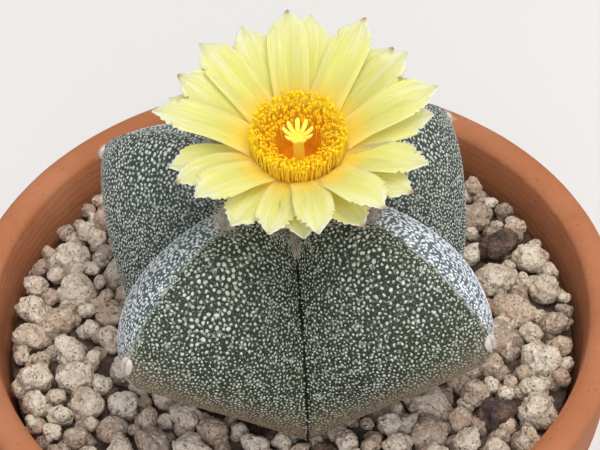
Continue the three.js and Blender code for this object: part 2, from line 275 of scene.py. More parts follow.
@dataclass
class Stamps:
    """Copies of small template meshes, gathered into one mesh."""

    corners: list[np.ndarray] = field(default_factory=list)
    loops: list[np.ndarray] = field(default_factory=list)
    sizes: list[np.ndarray] = field(default_factory=list)
    values: dict[str, list[np.ndarray]] = field(default_factory=dict)
    count: int = 0

    def add(self, template: bpy.types.Mesh, places: np.ndarray, **values: np.ndarray) -> None:
        """Adds copies of a template.

        Args:
            template: The mesh that is copied.
            places: One 4 by 4 matrix for each copy.
            **values: For each attribute's name, one number for each copy, or one for each copy and vertex.
        """
        points = positions(template)
        flat = np.empty(len(template.loops), np.int32)
        template.loops.foreach_get("vertex_index", flat)
        totals = np.empty(len(template.polygons), np.int32)
        template.polygons.foreach_get("loop_total", totals)
        copies = len(places)
        moved = np.einsum("nij,vj->nvi", places[:, :3, :3], points) + places[:, None, :3, 3]
        self.corners.append(moved.reshape(-1, 3))
        starts = self.count + np.arange(copies) * len(points)
        self.loops.append((flat[None] + starts[:, None]).ravel())
        self.sizes.append(np.tile(totals, copies))
        for name, given in values.items():
            spread = np.broadcast_to(np.asarray(given).reshape(copies, -1), (copies, len(points)))
            self.values.setdefault(name, []).append(spread.ravel())
        self.count += copies * len(points)

    def add_kinds(
        self, templates: list[bpy.types.Mesh], kinds: np.ndarray, places: np.ndarray, **values: np.ndarray
    ) -> None:
        """Adds copies of several templates.

        Args:
            templates: The meshes that are copied.
            kinds: Number of the template that each copy takes.
            places: One 4 by 4 matrix for each copy.
            **values: For each attribute's name, one number for each copy.
        """
        for kind, template in enumerate(templates):
            chosen = kinds == kind
            if chosen.any():
                self.add(template, places[chosen], **{key: given[chosen] for key, given in values.items()})

    def mesh(self, name: str) -> bpy.types.Mesh:
        """Makes one mesh of all the copies.

        Args:
            name: The mesh's name.

        Returns:
            The mesh, with the copies' values as attributes.
        """
        corners = np.concatenate(self.corners)
        loops = np.concatenate(self.loops)
        sizes = np.concatenate(self.sizes)
        mesh = bpy.data.meshes.new(name)
        mesh.vertices.add(len(corners))
        mesh.loops.add(len(loops))
        mesh.polygons.add(len(sizes))
        mesh.vertices.foreach_set("co", corners.astype(np.float32).ravel())
        mesh.loops.foreach_set("vertex_index", loops.astype(np.int32))
        starts = np.concatenate([[0], np.cumsum(sizes)[:-1]])
        mesh.polygons.foreach_set("loop_start", starts.astype(np.int32))
        mesh.update(calc_edges=True)
        mesh.shade_smooth()
        for key, parts in self.values.items():
            give_values(mesh, key, np.concatenate(parts))
        return mesh


def frames(origins: np.ndarray, ups: np.ndarray, spins: np.ndarray, scales: np.ndarray) -> np.ndarray:
    """Builds one placing matrix for each copy.

    Args:
        origins: Places, as rows.
        ups: Directions that the templates' Z axes take, as rows.
        spins: Turn of each copy about its own Z axis, in radians.
        scales: Size of each copy, or its sizes along its own X, Y and Z as rows.

    Returns:
        The 4 by 4 matrices.
    """
    up = ups / np.linalg.norm(ups, axis=1, keepdims=True)
    helper = np.where(np.abs(up[:, 2:3]) < 0.9, [[0.0, 0.0, 1.0]], [[1.0, 0.0, 0.0]])
    side = np.cross(helper, up)
    side /= np.linalg.norm(side, axis=1, keepdims=True)
    ahead = np.cross(up, side)
    cos, sin = np.cos(spins)[:, None], np.sin(spins)[:, None]
    scales = np.broadcast_to(scales.reshape(len(origins), -1), (len(origins), 3))
    out = np.zeros((len(origins), 4, 4))
    out[:, :3, 0] = (side * cos + ahead * sin) * scales[:, 0:1]
    out[:, :3, 1] = (ahead * cos - side * sin) * scales[:, 1:2]
    out[:, :3, 2] = up * scales[:, 2:3]
    out[:, :3, 3] = origins
    out[:, 3, 3] = 1
    return out


# ---- shader tools ----


@dataclass
class Graph:
    """A node tree, with a short call for each kind of node that the finishes use."""

    tree: bpy.types.NodeTree

    def put(self, kind: str, settings: dict | None = None, inputs: dict | None = None) -> bpy.types.Node:
        """Adds a node.

        Args:
            kind: The node's type.
            settings: Its own properties by name.
            inputs: Its inputs by name or index: a socket is linked, anything else is set.

        Returns:
            The node.
        """
        node = self.tree.nodes.new(kind)
        for name, value in (settings or {}).items():
            setattr(node, name, value)
        self.feed(node, inputs or {})
        return node

    def feed(self, node: bpy.types.Node, inputs: dict) -> None:
        """Fills a node's inputs.

        Args:
            node: The node.
            inputs: Inputs by name or index: a socket is linked, anything else is set.
        """
        for key, value in inputs.items():
            if isinstance(value, bpy.types.NodeSocket):
                self.tree.links.new(value, node.inputs[key])
            else:
                node.inputs[key].default_value = value

    def maths(self, operation: str, first: Any, second: Any = 0.0) -> bpy.types.NodeSocket:
        """Works out one number from two."""
        return self.put("ShaderNodeMath", {"operation": operation}, {0: first, 1: second}).outputs[0]

    def times(self, *factors: Any) -> bpy.types.NodeSocket:
        """Multiplies two or more numbers.

        Args:
            *factors: The numbers.

        Returns:
            Their product.
        """
        result = factors[0]
        for factor in factors[1:]:
            result = self.maths("MULTIPLY", result, factor)
        return result

    def rest(self, share: Any) -> bpy.types.NodeSocket:
        """Gives what a share leaves of 1."""
        return self.maths("SUBTRACT", 1.0, share)

    def blend(self, factor: Any, first: Any, second: Any) -> bpy.types.NodeSocket:
        """Mixes two colours."""
        node = self.put("ShaderNodeMix", {"data_type": "RGBA"}, {0: factor, 6: first, 7: second})
        return node.outputs[2]

    def span(self, value: Any, low: float, high: float) -> bpy.types.NodeSocket:
        """Gives 0 below low, 1 above high, and a soft rise between them."""
        settings = {"interpolation_type": "SMOOTHSTEP"}
        return self.put("ShaderNodeMapRange", settings, {0: value, 1: low, 2: high}).outputs[0]

    def noise(self, vector: Any, scale: float, detail: float = 3.0) -> bpy.types.NodeSocket:
        """Gives cloudy noise from 0 to 1."""
        inputs = {"Vector": vector, "Scale": scale, "Detail": detail}
        return self.put("ShaderNodeTexNoise", None, inputs).outputs["Fac"]

    def cells(self, vector: Any, scale: float) -> bpy.types.NodeSocket:
        """Gives the distance to the nearest of many scattered points."""
        inputs = {"Vector": vector, "Scale": scale}
        return self.put("ShaderNodeTexVoronoi", None, inputs).outputs["Distance"]

    def place(self) -> bpy.types.NodeSocket:
        """Gives the point's place on the object."""
        return self.put("ShaderNodeTexCoord").outputs["Object"]

    def height(self) -> bpy.types.NodeSocket:
        """Gives the point's height on the object."""
        return self.put("ShaderNodeSeparateXYZ", None, {0: self.place()}).outputs["Z"]

    def value(self, name: str) -> bpy.types.NodeSocket:
        """Reads a number that the mesh stores for each vertex."""
        return self.put("ShaderNodeAttribute", {"attribute_name": name}).outputs["Fac"]

    def bump(self, height: Any, depth: float, normal: Any = None) -> bpy.types.NodeSocket:
        """Turns a height into a normal.

        Args:
            height: Height from 0 to 1.
            depth: How deep a height of 1 is, in metres.
            normal: A normal that this one adds to.

        Returns:
            The normal.
        """
        inputs = {"Height": height, "Distance": depth, "Strength": 1.0}
        if normal is not None:
            inputs["Normal"] = normal
        return self.put("ShaderNodeBump", None, inputs).outputs["Normal"]

    def group(self, tree: bpy.types.NodeTree, inputs: dict) -> bpy.types.Node:
        """Places a shared node group."""
        return self.put("ShaderNodeGroup", {"node_tree": tree}, inputs)


def new_material(name: str, **sockets: Any) -> tuple[bpy.types.Material, Graph, bpy.types.Node]:
    """Starts a material.

    Args:
        name: The material's name.
        **sockets: Plain numbers for the shader's own sockets, their names with _ for each space.

    Returns:
        The material, its graph and its shader.
    """
    material = bpy.data.materials.new(name)
    material.use_nodes = True
    graph = Graph(material.node_tree)
    shader = material.node_tree.nodes["Principled BSDF"]
    for key, value in sockets.items():
        shader.inputs[key.replace("_", " ")].default_value = value
    return material, graph, shader


def new_group(name: str, inputs: dict[str, str], outputs: dict[str, str]) -> tuple[Graph, Any, Any]:
    """Starts a shared node group.

    Args:
        name: The group's name.
        inputs: Socket type by input name.
        outputs: Socket type by output name.

    Returns:
        The group's graph, its input node and its output node.
    """
    tree = bpy.data.node_groups.new(name, "ShaderNodeTree")
    for key, kind in inputs.items():
        tree.interface.new_socket(key, in_out="INPUT", socket_type=kind)
    for key, kind in outputs.items():
        tree.interface.new_socket(key, in_out="OUTPUT", socket_type=kind)
    return Graph(tree), tree.nodes.new("NodeGroupInput"), tree.nodes.new("NodeGroupOutput")


@dataclass(frozen=True)
class SharedEffects:
    """Node groups that several finishes use."""

    mottle: bpy.types.NodeTree
    pores: bpy.types.NodeTree

    @staticmethod
    def build() -> "SharedEffects":
        """Builds each group once."""
        return SharedEffects(SharedEffects._mottle(), SharedEffects._pores())

    @staticmethod
    def _mottle() -> bpy.types.NodeTree:
        """Clouds of a second colour over a first, in two sizes.

        Returns:
            The group's tree.
        """
        kinds = {
            "Place": "NodeSocketVector",
            "Scale": "NodeSocketFloat",
            "Main": "NodeSocketColor",
            "Patch": "NodeSocketColor",
            "Amount": "NodeSocketFloat",
        }
        results = {"Color": "NodeSocketColor", "Value": "NodeSocketFloat"}
        graph, given, result = new_group("mottle", kinds, results)
        place, scale = given.outputs["Place"], given.outputs["Scale"]
        broad = graph.noise(place, scale, 4.0)
        fine = graph.noise(place, graph.times(scale, 6.3), 3.0)
        clouds = graph.maths("ADD", graph.times(broad, 0.7), graph.times(fine, 0.3))
        mask = graph.span(clouds, 0.38, 0.66)
        share = graph.times(mask, given.outputs["Amount"])
        colour = graph.blend(share, given.outputs["Main"], given.outputs["Patch"])
        graph.feed(result, {"Color": colour, "Value": mask})
        return graph.tree

    @staticmethod
    def _pores() -> bpy.types.NodeTree:
        """Scattered pits: a mask that is 1 in a pit, and a height that falls there.

        Returns:
            The group's tree.
        """
        kinds = {"Place": "NodeSocketVector", "Scale": "NodeSocketFloat", "Share": "NodeSocketFloat"}
        results = {"Mask": "NodeSocketFloat", "Height": "NodeSocketFloat"}
        graph, given, result = new_group("pores", kinds, results)
        place, scale = given.outputs["Place"], given.outputs["Scale"]
        warp = graph.put("ShaderNodeTexNoise", None, {"Vector": place, "Scale": scale}).outputs["Color"]
        by = {0: warp, "Scale": 0.0012}
        shift = graph.put("ShaderNodeVectorMath", {"operation": "SCALE"}, by).outputs[0]
        moved = graph.put("ShaderNodeVectorMath", {"operation": "ADD"}, {0: place, 1: shift}).outputs[0]
        patch = graph.noise(place, graph.times(scale, 0.45), 2.0)
        reach = graph.times(graph.span(patch, 0.35, 0.7), given.outputs["Share"])
        mask = graph.span(graph.maths("SUBTRACT", reach, graph.cells(moved, scale)), -0.04, 0.1)
        graph.feed(result, {"Mask": mask, "Height": graph.rest(mask)})
        return graph.tree

    def clouds(self, graph: Graph, scale: float, main: Any, patch: Any, amount: float) -> bpy.types.Node:
        """Places the mottle, with so many clouds to a metre: patches of a second colour over the first."""
        inputs = {"Place": graph.place(), "Scale": scale, "Main": main, "Patch": patch, "Amount": amount}
        return graph.group(self.mottle, inputs)

    def pits(self, graph: Graph, scale: float, share: float) -> bpy.types.Node:
        """Places the pores, so many to a metre. Share sets how wide they are, and 0 leaves none."""
        return graph.group(self.pores, {"Place": graph.place(), "Scale": scale, "Share": share})


# ---- finishes ----


@dataclass(frozen=True)
class TerracottaFinish:
    """Unglazed fired clay, cloudy, finely grained, a little darker low on the inner wall, fading towards the
    lip.
    """

    clay: Colour = srgb(169, 103, 65)
    pale: Colour = srgb(182, 117, 80)
    dark_clay: Colour = srgb(158, 100, 66)
    bloom_and_painted_light: Colour = srgb(198, 152, 120)
    low_band_strength: float = 0.4
    bloom_and_painted_light_strength: float = 0.16
    speck_strength: float = 0.2
    grain_depth: float = 0.00012
    speck_depth: float = 0.0002

    def build(self, effects: SharedEffects, darker_below: float) -> bpy.types.Material:
        """Builds the material.

        Args:
            effects: The shared node groups.
            darker_below: Height under which the inner wall is darker, in metres.

        Returns:
            The material.
        """
        material, graph, shader = new_material("terracotta", Roughness=0.82, Specular_IOR_Level=0.3)
        place = graph.place()
        clouds = effects.clouds(graph, scale=38.0, main=self.clay, patch=self.pale, amount=0.75)
        # The inner wall is a little darker low down, fading towards the lip.
        edge = graph.maths("ADD", graph.height(), graph.times(graph.noise(place, 60.0), 0.006))
        low = graph.rest(graph.span(edge, darker_below - 0.003, darker_below + 0.006))
        low_band = graph.times(graph.value("inner"), low, self.low_band_strength)
        colour = graph.blend(low_band, clouds.outputs["Color"], self.dark_clay)
        dust = graph.span(graph.noise(place, 45.0, 8.0), 0.5, 0.8)
        # A pale salt bloom in patches, the clay's own colour.
        colour = graph.blend(graph.times(dust, self.bloom_and_painted_light_strength), colour, self.bloom_and_painted_light)
        specks = effects.pits(graph, scale=700.0, share=0.22)
        colour = graph.blend(graph.times(specks.outputs["Mask"], self.speck_strength), colour, self.dark_clay)
        bands = {"bands_direction": "Z", "wave_type": "BANDS"}
        turning = {"Vector": place, "Scale": 160.0, "Distortion": 3.0, "Detail": 2.0}
        rings = graph.put("ShaderNodeTexWave", bands, turning).outputs["Fac"]
        grain = graph.noise(place, 1800.0, 4.0)
        relief = graph.maths("ADD", graph.times(grain, 0.7), graph.times(rings, 0.3))
        normal = graph.bump(relief, self.grain_depth)
        normal = graph.bump(specks.outputs["Height"], self.speck_depth, normal)
        graph.feed(shader, {"Base Color": colour, "Normal": normal})
        return material


@dataclass(frozen=True)
class SoilFinish:
    """Dark mineral potting mix, or the finer grit between the stones."""

    name: str = "potting_mix"
    dark: Colour = srgb(52, 40, 30)
    light: Colour = srgb(104, 84, 64)
    depth: float = 0.0006

    def build(self, effects: SharedEffects) -> bpy.types.Material:
        """Builds the material.

        Args:
            effects: The shared node groups.

        Returns:
            The material.
        """
        material, graph, shader = new_material(self.name, Roughness=0.95)
        mottle = effects.clouds(graph, scale=300.0, main=self.dark, patch=self.light, amount=0.8)
        normal = graph.bump(mottle.outputs["Value"], self.depth)
        graph.feed(shader, {"Base Color": mottle.outputs["Color"], "Normal": normal})
        return material


@dataclass(frozen=True)
class PumiceFinish:
    """Pitted pumice. Each stone's own tone runs from dark lava through grey and pink to cream. Painted shade
    darkens the pits and hollows and the stones' low parts.
    """

    lava: Colour = srgb(72, 62, 62)
    grey: Colour = srgb(178, 160, 145)
    pink: Colour = srgb(216, 190, 164)
    cream: Colour = srgb(244, 229, 206)
    rust: Colour = srgb(184, 146, 116)
    # Colour of painted shade in the pits and low between the stones.
    pit_shade: Colour = srgb(98, 74, 56)
    chalk: Colour = srgb(248, 238, 222)
    chalk_strength: float = 0.6
    pit_shade_strength: float = 0.66
    fine_pit_shade_strength: float = 0.42
    shade_strength: float = 0.5
    shaded_below: float = 0.0805
    open_above: float = 0.0865
    grain_depth: float = 0.0014
    pit_depth: float = 0.0007
    fine_pit_depth: float = 0.0003

    def build(self, effects: SharedEffects) -> bpy.types.Material:
        """Builds the material.

        Args:
            effects: The shared node groups.

        Returns:
            The material.
        """
        material, graph, shader = new_material("pumice", Roughness=0.92, Specular_IOR_Level=0.2)
        place = graph.place()
        tone = graph.value("tone")
        ramp = graph.put("ShaderNodeValToRGB", None, {"Fac": tone})
        stops = ramp.color_ramp.elements
        stops[0].position, stops[0].color = 0.05, self.lava
        stops[1].position, stops[1].color = 1.0, self.cream
        for position, colour in ((0.12, self.grey), (0.42, self.pink), (0.62, self.cream)):
            stops.new(position).color = colour
        mottle = effects.clouds(graph, scale=240.0, main=ramp.outputs["Color"], patch=self.rust, amount=0.5)
        crust = graph.span(graph.noise(place, 700.0, 5.0), 0.5, 0.7)
        chalky = graph.times(crust, graph.span(tone, 0.02, 0.2), self.chalk_strength)
        colour = graph.blend(chalky, mottle.outputs["Color"], self.chalk)
        coarse = effects.pits(graph, scale=1150.0, share=0.36)
        fine = effects.pits(graph, scale=2600.0, share=0.42)
        # Painted shade in the pores and in the stones' own hollows.
        small = graph.times(fine.outputs["Mask"], self.fine_pit_shade_strength)
        shaded_hole = graph.maths("MAXIMUM", coarse.outputs["Mask"], small)
        shaded_hole = graph.maths("MAXIMUM", shaded_hole, graph.value("hollow"))
        colour = graph.blend(graph.times(shaded_hole, self.pit_shade_strength), colour, self.pit_shade)
        # Painted shade low down, between and under the stones.
        deep = graph.rest(graph.span(graph.height(), self.shaded_below, self.open_above))
        colour = graph.blend(graph.times(deep, self.shade_strength), colour, self.pit_shade)
        normal = graph.bump(graph.noise(place, 1000.0, 8.0), self.grain_depth)
        normal = graph.bump(coarse.outputs["Height"], self.pit_depth, normal)
        normal = graph.bump(fine.outputs["Height"], self.fine_pit_depth, normal)
        graph.feed(shader, {"Base Color": colour, "Normal": normal})
        return material


@dataclass(frozen=True)
class SkinFinish:
    """Dark green skin powdered with tiny white specks, corky brown low down, with painted shade near black in
    the furrows and a painted pale bluish light on some flanks.
    """

    green: Colour = srgb(36, 44, 31)
    moss: Colour = srgb(46, 56, 28)
    crest: Colour = srgb(212, 214, 204)
    # Painted shade for the creases of the furrows.
    crease: Colour = srgb(12, 14, 10)
    cork: Colour = srgb(124, 110, 86)
    dust: Colour = srgb(186, 192, 178)
    sand: Colour = srgb(184, 172, 144)
    # Painted bluish light for the flanks that catch light.
    bloom_and_painted_light: Colour = srgb(108, 120, 128)
    cork_strength: float = 0.85
    bloom_and_painted_light_strength: float = 0.6
    fine_speck_strength: float = 0.5
    crest_strength: float = 0.75
    crease_shade_strength: float = 0.9
    grain_depth: float = 0.00012

    def build(self, effects: SharedEffects) -> bpy.types.Material:
        """Builds the material.

        Args:
            effects: The shared node groups.

        Returns:
            The material.
        """
        material, graph, shader = new_material("cactus_skin", Roughness=0.6, Specular_IOR_Level=0.3)
        place = graph.place()
        mottle = effects.clouds(graph, scale=70.0, main=self.green, patch=self.moss, amount=0.7)
        low = graph.value("low")
        colour = graph.blend(graph.times(low, self.cork_strength), mottle.outputs["Color"], self.cork)
        # Painted light: a pale bluish cast where the pale values ask for it.
        colour = graph.blend(graph.times(graph.value("pale"), self.bloom_and_painted_light_strength), colour, self.bloom_and_painted_light)
        specks = effects.pits(graph, scale=1500.0, share=0.5)
        fine = graph.rest(graph.span(graph.cells(place, 2300.0), 0.2, 0.36))
        small = graph.times(fine, self.fine_speck_strength)
        speck = graph.maths("MAXIMUM", specks.outputs["Mask"], small)
        dust = graph.blend(low, self.dust, self.sand)
        colour = graph.blend(graph.times(speck, graph.value("dense")), colour, dust)
        broken = graph.times(graph.span(graph.noise(place, 500.0, 3.0), 0.3, 0.7), self.crest_strength)
        colour = graph.blend(graph.times(graph.value("edge"), broken), colour, self.crest)
        # Painted shade: near black along the furrows' creases.
        colour = graph.blend(graph.times(graph.value("crease"), self.crease_shade_strength), colour, self.crease)
        normal = graph.bump(graph.noise(place, 1200.0, 4.0), self.grain_depth)
        graph.feed(shader, {"Base Color": colour, "Normal": normal})
        return material


@dataclass(frozen=True)
class FeltFinish:
    """Matte plant felt or wool, each tuft or hair a little lighter or darker than the next, and bluish white
    where painted light is asked for.
    """

    name: str
    light: Colour
    dark: Colour
    aged: Colour = srgb(176, 160, 130)
    frost: Colour = srgb(244, 248, 253)
    aged_strength: float = 0.9
    depth: float = 0.0001

    def build(self, effects: SharedEffects) -> bpy.types.Material:
        """Builds the material.

        Args:
            effects: The shared node groups.

        Returns:
            The material.
        """
        material, graph, shader = new_material(self.name, Roughness=0.95, Specular_IOR_Level=0.15)
        colour = graph.blend(graph.value("tone"), self.dark, self.light)
        mottle = effects.clouds(graph, scale=900.0, main=colour, patch=self.light, amount=0.3)
        # Painted light: a bluish white cast where the frost values ask for it.
        colour = graph.blend(graph.value("frost"), mottle.outputs["Color"], self.frost)
        colour = graph.blend(graph.times(graph.value("aged"), self.aged_strength), colour, self.aged)
        normal = graph.bump(mottle.outputs["Value"], self.depth)
        graph.feed(shader, {"Base Color": colour, "Normal": normal})
        return material


@dataclass(frozen=True)
class PetalFinish:
    """Thin yellow petal: golden at its root, pale towards its end, with fine veins and a stained point. Pale
    streaks along it are painted highlights, and it glows with painted light, golden at its root.
    """

    gold: Colour = srgb(240, 200, 64)
    yellow: Colour = srgb(228, 218, 108)
    pale: Colour = srgb(228, 222, 152)
    vein: Colour = srgb(210, 200, 90)
    light: Colour = srgb(250, 248, 214)
    stain: Colour = srgb(176, 116, 96)
    black: Colour = srgb(0, 0, 0)
    pale_strength: float = 0.8
    rim_strength: float = 0.5
    frill_strength: float = 0.75
    highlight_streak_strength: float = 0.36
    vein_strength: float = 0.18
    painted_glow: float = 0.16
    painted_glow_loss: float = 0.75
    relief: float = 0.00006

    @staticmethod
    def lengthwise(
        graph: Graph, along: Any, across: Any, stretch: float, lines: float
    ) -> bpy.types.NodeSocket:
        """Gives a place for noise in lines from a petal's root to its point, different on each petal."""
        inputs = {0: graph.times(along, stretch), 1: graph.times(across, lines), 2: graph.value("number")}
        return graph.put("ShaderNodeCombineXYZ", None, inputs).outputs[0]

    def build(self) -> bpy.types.Material:
        """Builds the material. Its colours follow the petal's own shape.

        Returns:
            The material.
        """
        # The emission is a painted glow, not a lamp.
        material, graph, shader = new_material(
            "petal",
            Roughness=0.5,
            Subsurface_Weight=0.6,
            Subsurface_Radius=(0.003, 0.0026, 0.0012),
            Subsurface_Scale=1.0,
            Specular_IOR_Level=0.25,
            Sheen_Weight=0.12,
            Emission_Strength=self.painted_glow,
        )
        along, across = graph.value("along"), graph.value("across")
        aside = graph.maths("ABSOLUTE", across)
        colour = graph.blend(graph.span(along, 0.02, 0.4), self.gold, self.yellow)
        rim = graph.times(graph.span(aside, 0.35, 1.0), self.rim_strength)
        tip = graph.maths("MAXIMUM", graph.span(along, 0.5, 0.9), rim)
        colour = graph.blend(graph.times(tip, self.pale_strength), colour, self.pale)
        frill = graph.times(graph.span(along, 0.74, 1.0), graph.span(aside, 0.1, 0.9))
        colour = graph.blend(graph.times(frill, self.frill_strength), colour, self.light)
        # Painted highlights: pale streaks along the petal.
        broad = graph.noise(self.lengthwise(graph, along, across, 1.3, 3.2), 1.0, 3.0)
        highlight_streak = graph.times(graph.span(broad, 0.4, 0.75), graph.span(along, 0.2, 0.7))
        colour = graph.blend(graph.times(highlight_streak, self.highlight_streak_strength), colour, self.light)
        fine = graph.noise(self.lengthwise(graph, along, across, 2.0, 24.0), 1.0, 2.0)
        veins = graph.span(fine, 0.45, 0.7)
        colour = graph.blend(graph.times(veins, self.vein_strength), colour, self.vein)
        mark = graph.times(graph.span(along, 0.93, 1.0), graph.value("stain"))
        colour = graph.blend(mark, colour, self.stain)
        # Painted glow, golden at the root, stands in for light through the petal.
        root = graph.rest(graph.span(along, 0.03, 0.3))
        painted_glow_colour = graph.blend(root, graph.blend(self.painted_glow_loss, colour, self.black), self.gold)
        normal = graph.bump(veins, self.relief)
        normal = graph.bump(graph.noise(graph.place(), 700.0, 3.0), self.relief, normal)
        graph.feed(shader, {"Base Color": colour, "Emission Color": painted_glow_colour, "Normal": normal})
        return material


@dataclass(frozen=True)
class PollenFinish:
    """Stamens and pistil: one colour at the foot, another at the head, with powdery grain, a painted glow,
    and a darker colour as painted shade where the deep values ask for it.
    """

    name: str
    foot: Colour
    head: Colour
    grain: Colour
    painted_glow: float
    deep: Colour = srgb(206, 144, 18)
    depth: float = 0.00012

    def build(self, effects: SharedEffects) -> bpy.types.Material:
        """Builds the material.

        Args:
            effects: The shared node groups.

        Returns:
            The material.
        """
        # The emission is a painted glow, not a lamp.
        material, graph, shader = new_material(
            self.name,
            Roughness=0.6,
            Subsurface_Weight=0.5,
            Subsurface_Radius=(0.001, 0.0007, 0.0002),
            Subsurface_Scale=1.0,
            Specular_IOR_Level=0.12,
            Emission_Strength=self.painted_glow,
        )
        colour = graph.blend(graph.value("along"), self.foot, self.head)
        mottle = effects.clouds(graph, scale=1600.0, main=colour, patch=self.grain, amount=0.5)
        # Painted shade where the deep values ask for it, on the stamens' core.
        colour = graph.blend(graph.value("deep"), mottle.outputs["Color"], self.deep)
        normal = graph.bump(mottle.outputs["Value"], self.depth)
        graph.feed(shader, {"Base Color": colour, "Emission Color": colour, "Normal": normal})
        return material


@dataclass(frozen=True)
class TubeFinish:
    """Green-brown flower tube and its scales, browner towards the points."""

    green: Colour = srgb(120, 122, 64)
    brown: Colour = srgb(104, 70, 52)
    depth: float = 0.0002

    def build(self, effects: SharedEffects) -> bpy.types.Material:
        """Builds the material.

        Args:
            effects: The shared node groups.

        Returns:
            The material.
        """
        material, graph, shader = new_material("flower_tube", Roughness=0.7)
        mottle = effects.clouds(graph, scale=400.0, main=self.green, patch=self.brown, amount=0.5)
        colour = graph.blend(graph.value("along"), mottle.outputs["Color"], self.brown)
        normal = graph.bump(mottle.outputs["Value"], self.depth)
        graph.feed(shader, {"Base Color": colour, "Normal": normal})
        return material


# ---- pot, soil and dressing ----


@dataclass
class ClayPot:
    """Round clay pot with a collar, a broad soft lip and one drain hole."""

    height: float = 95.0
    base_radius: float = 52.0
    collar_height: float = 20.0
    collar_low_radius: float = 73.0
    lip_radius: float = 75.2
    lip_inner_radius: float = 68.4
    neck_radius: float = 69.5
    floor: float = 8.0
    inner_radius: float = 66.8
    inner_foot_radius: float = 45.0
    drain_radius: float = 6.0
    dressing_level: float = 87.0
    mid_wall: tuple[float, float, float] = (48.0, 68.0, 69.6)
    broad_swell: float = 0.22
    fine_swell: float = 0.06
    swell_drop: float = 0.2
    steps: int = 128

    def profile(self) -> list[tuple[float, float]]:
        """Gives the closed outline of the wall, from the drain hole round the outside and back inside.

        Returns:
            Radius and height of each point, in millimetres.
        """
        under = self.height - self.collar_height
        ridge = self.height - 3.0
        middle = (self.lip_radius + self.lip_inner_radius) / 2
        foot, neck, collar, lip = self.base_radius, self.neck_radius, self.collar_low_radius, self.lip_radius
        mouth, inside, low = self.lip_inner_radius, self.inner_radius, self.inner_foot_radius
        top, level, floor = self.height, self.dressing_level, self.floor
        outline = [(self.drain_radius, 0.0), (foot - 12, 0.0)]
        outline += bend((foot - 1.5, 0.0), (foot, 0.0), (foot + 0.4, 1.6))
        for i in range(1, 12):
            share = i / 12
            outline.append((foot + 0.4 + (neck - foot - 0.4) * share, 1.6 + (under - 2.6) * share))
        outline += bend((neck, under - 1), (neck + 0.4, under), (neck + 1.4, under))
        outline += bend((collar - 1.2, under), (collar, under), (collar + 0.12, under + 1.3))
        outline.append(((collar + lip) / 2, (under + ridge) / 2))
        outline += bend((lip, ridge), (lip, top - 0.1), (middle, top))
        throat = (mouth - 0.4, top - 2)
        outline += bend((middle, top), (mouth, top), throat)[1:]
        outline += bend(throat, (inside + 0.4, level + 3), (inside, level - 4))[1:]
        outline.append((low, floor + 4))
        outline += bend((low, floor + 4), (low - 1, floor), (low - 5, floor))[1:]
        outline.append((self.drain_radius, self.floor))
        return outline

    def build(self, effects: SharedEffects) -> None:
        """Builds the pot with the small unevennesses of hand and kiln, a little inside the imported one.

        Args:
            effects: The shared node groups.
        """
        bm = turned(self.profile(), self.steps, True)
        for vert in bm.verts:
            radius = Vector((vert.co.x, vert.co.y)).length
            if radius < self.drain_radius * 2 * MM or vert.co.z < 0.5 * MM:
                continue
            broad, fine = noise.noise(vert.co * 28), noise.noise(vert.co * 160)
            swell = broad * self.broad_swell + fine * self.fine_swell - self.swell_drop
            vert.co.x += vert.co.x / radius * swell * MM
            vert.co.y += vert.co.y / radius * swell * MM
            if vert.co.z > (self.height - 1) * MM:
                vert.co.z += (noise.noise(vert.co * 45 + Vector((3, 1, 2))) * 0.2 - 0.15) * MM
        mesh = as_mesh(bm, "clay_pot")
        at = positions(mesh) / MM
        radius = np.hypot(at[:, 0], at[:, 1])
        wall = np.interp(at[:, 2], [0, self.height - self.collar_height, self.height], self.mid_wall)
        give_values(mesh, "inner", 1 - smooth((radius - wall) / 1.2))
        finish = TerracottaFinish().build(effects, (self.dressing_level + 2.5) * MM)
        place_piece(mesh, "clay_pot", Node.POT, finish)


@dataclass
class Pebble:
    """One stone of the dressing, in millimetres."""

    centre: np.ndarray
    radius: float


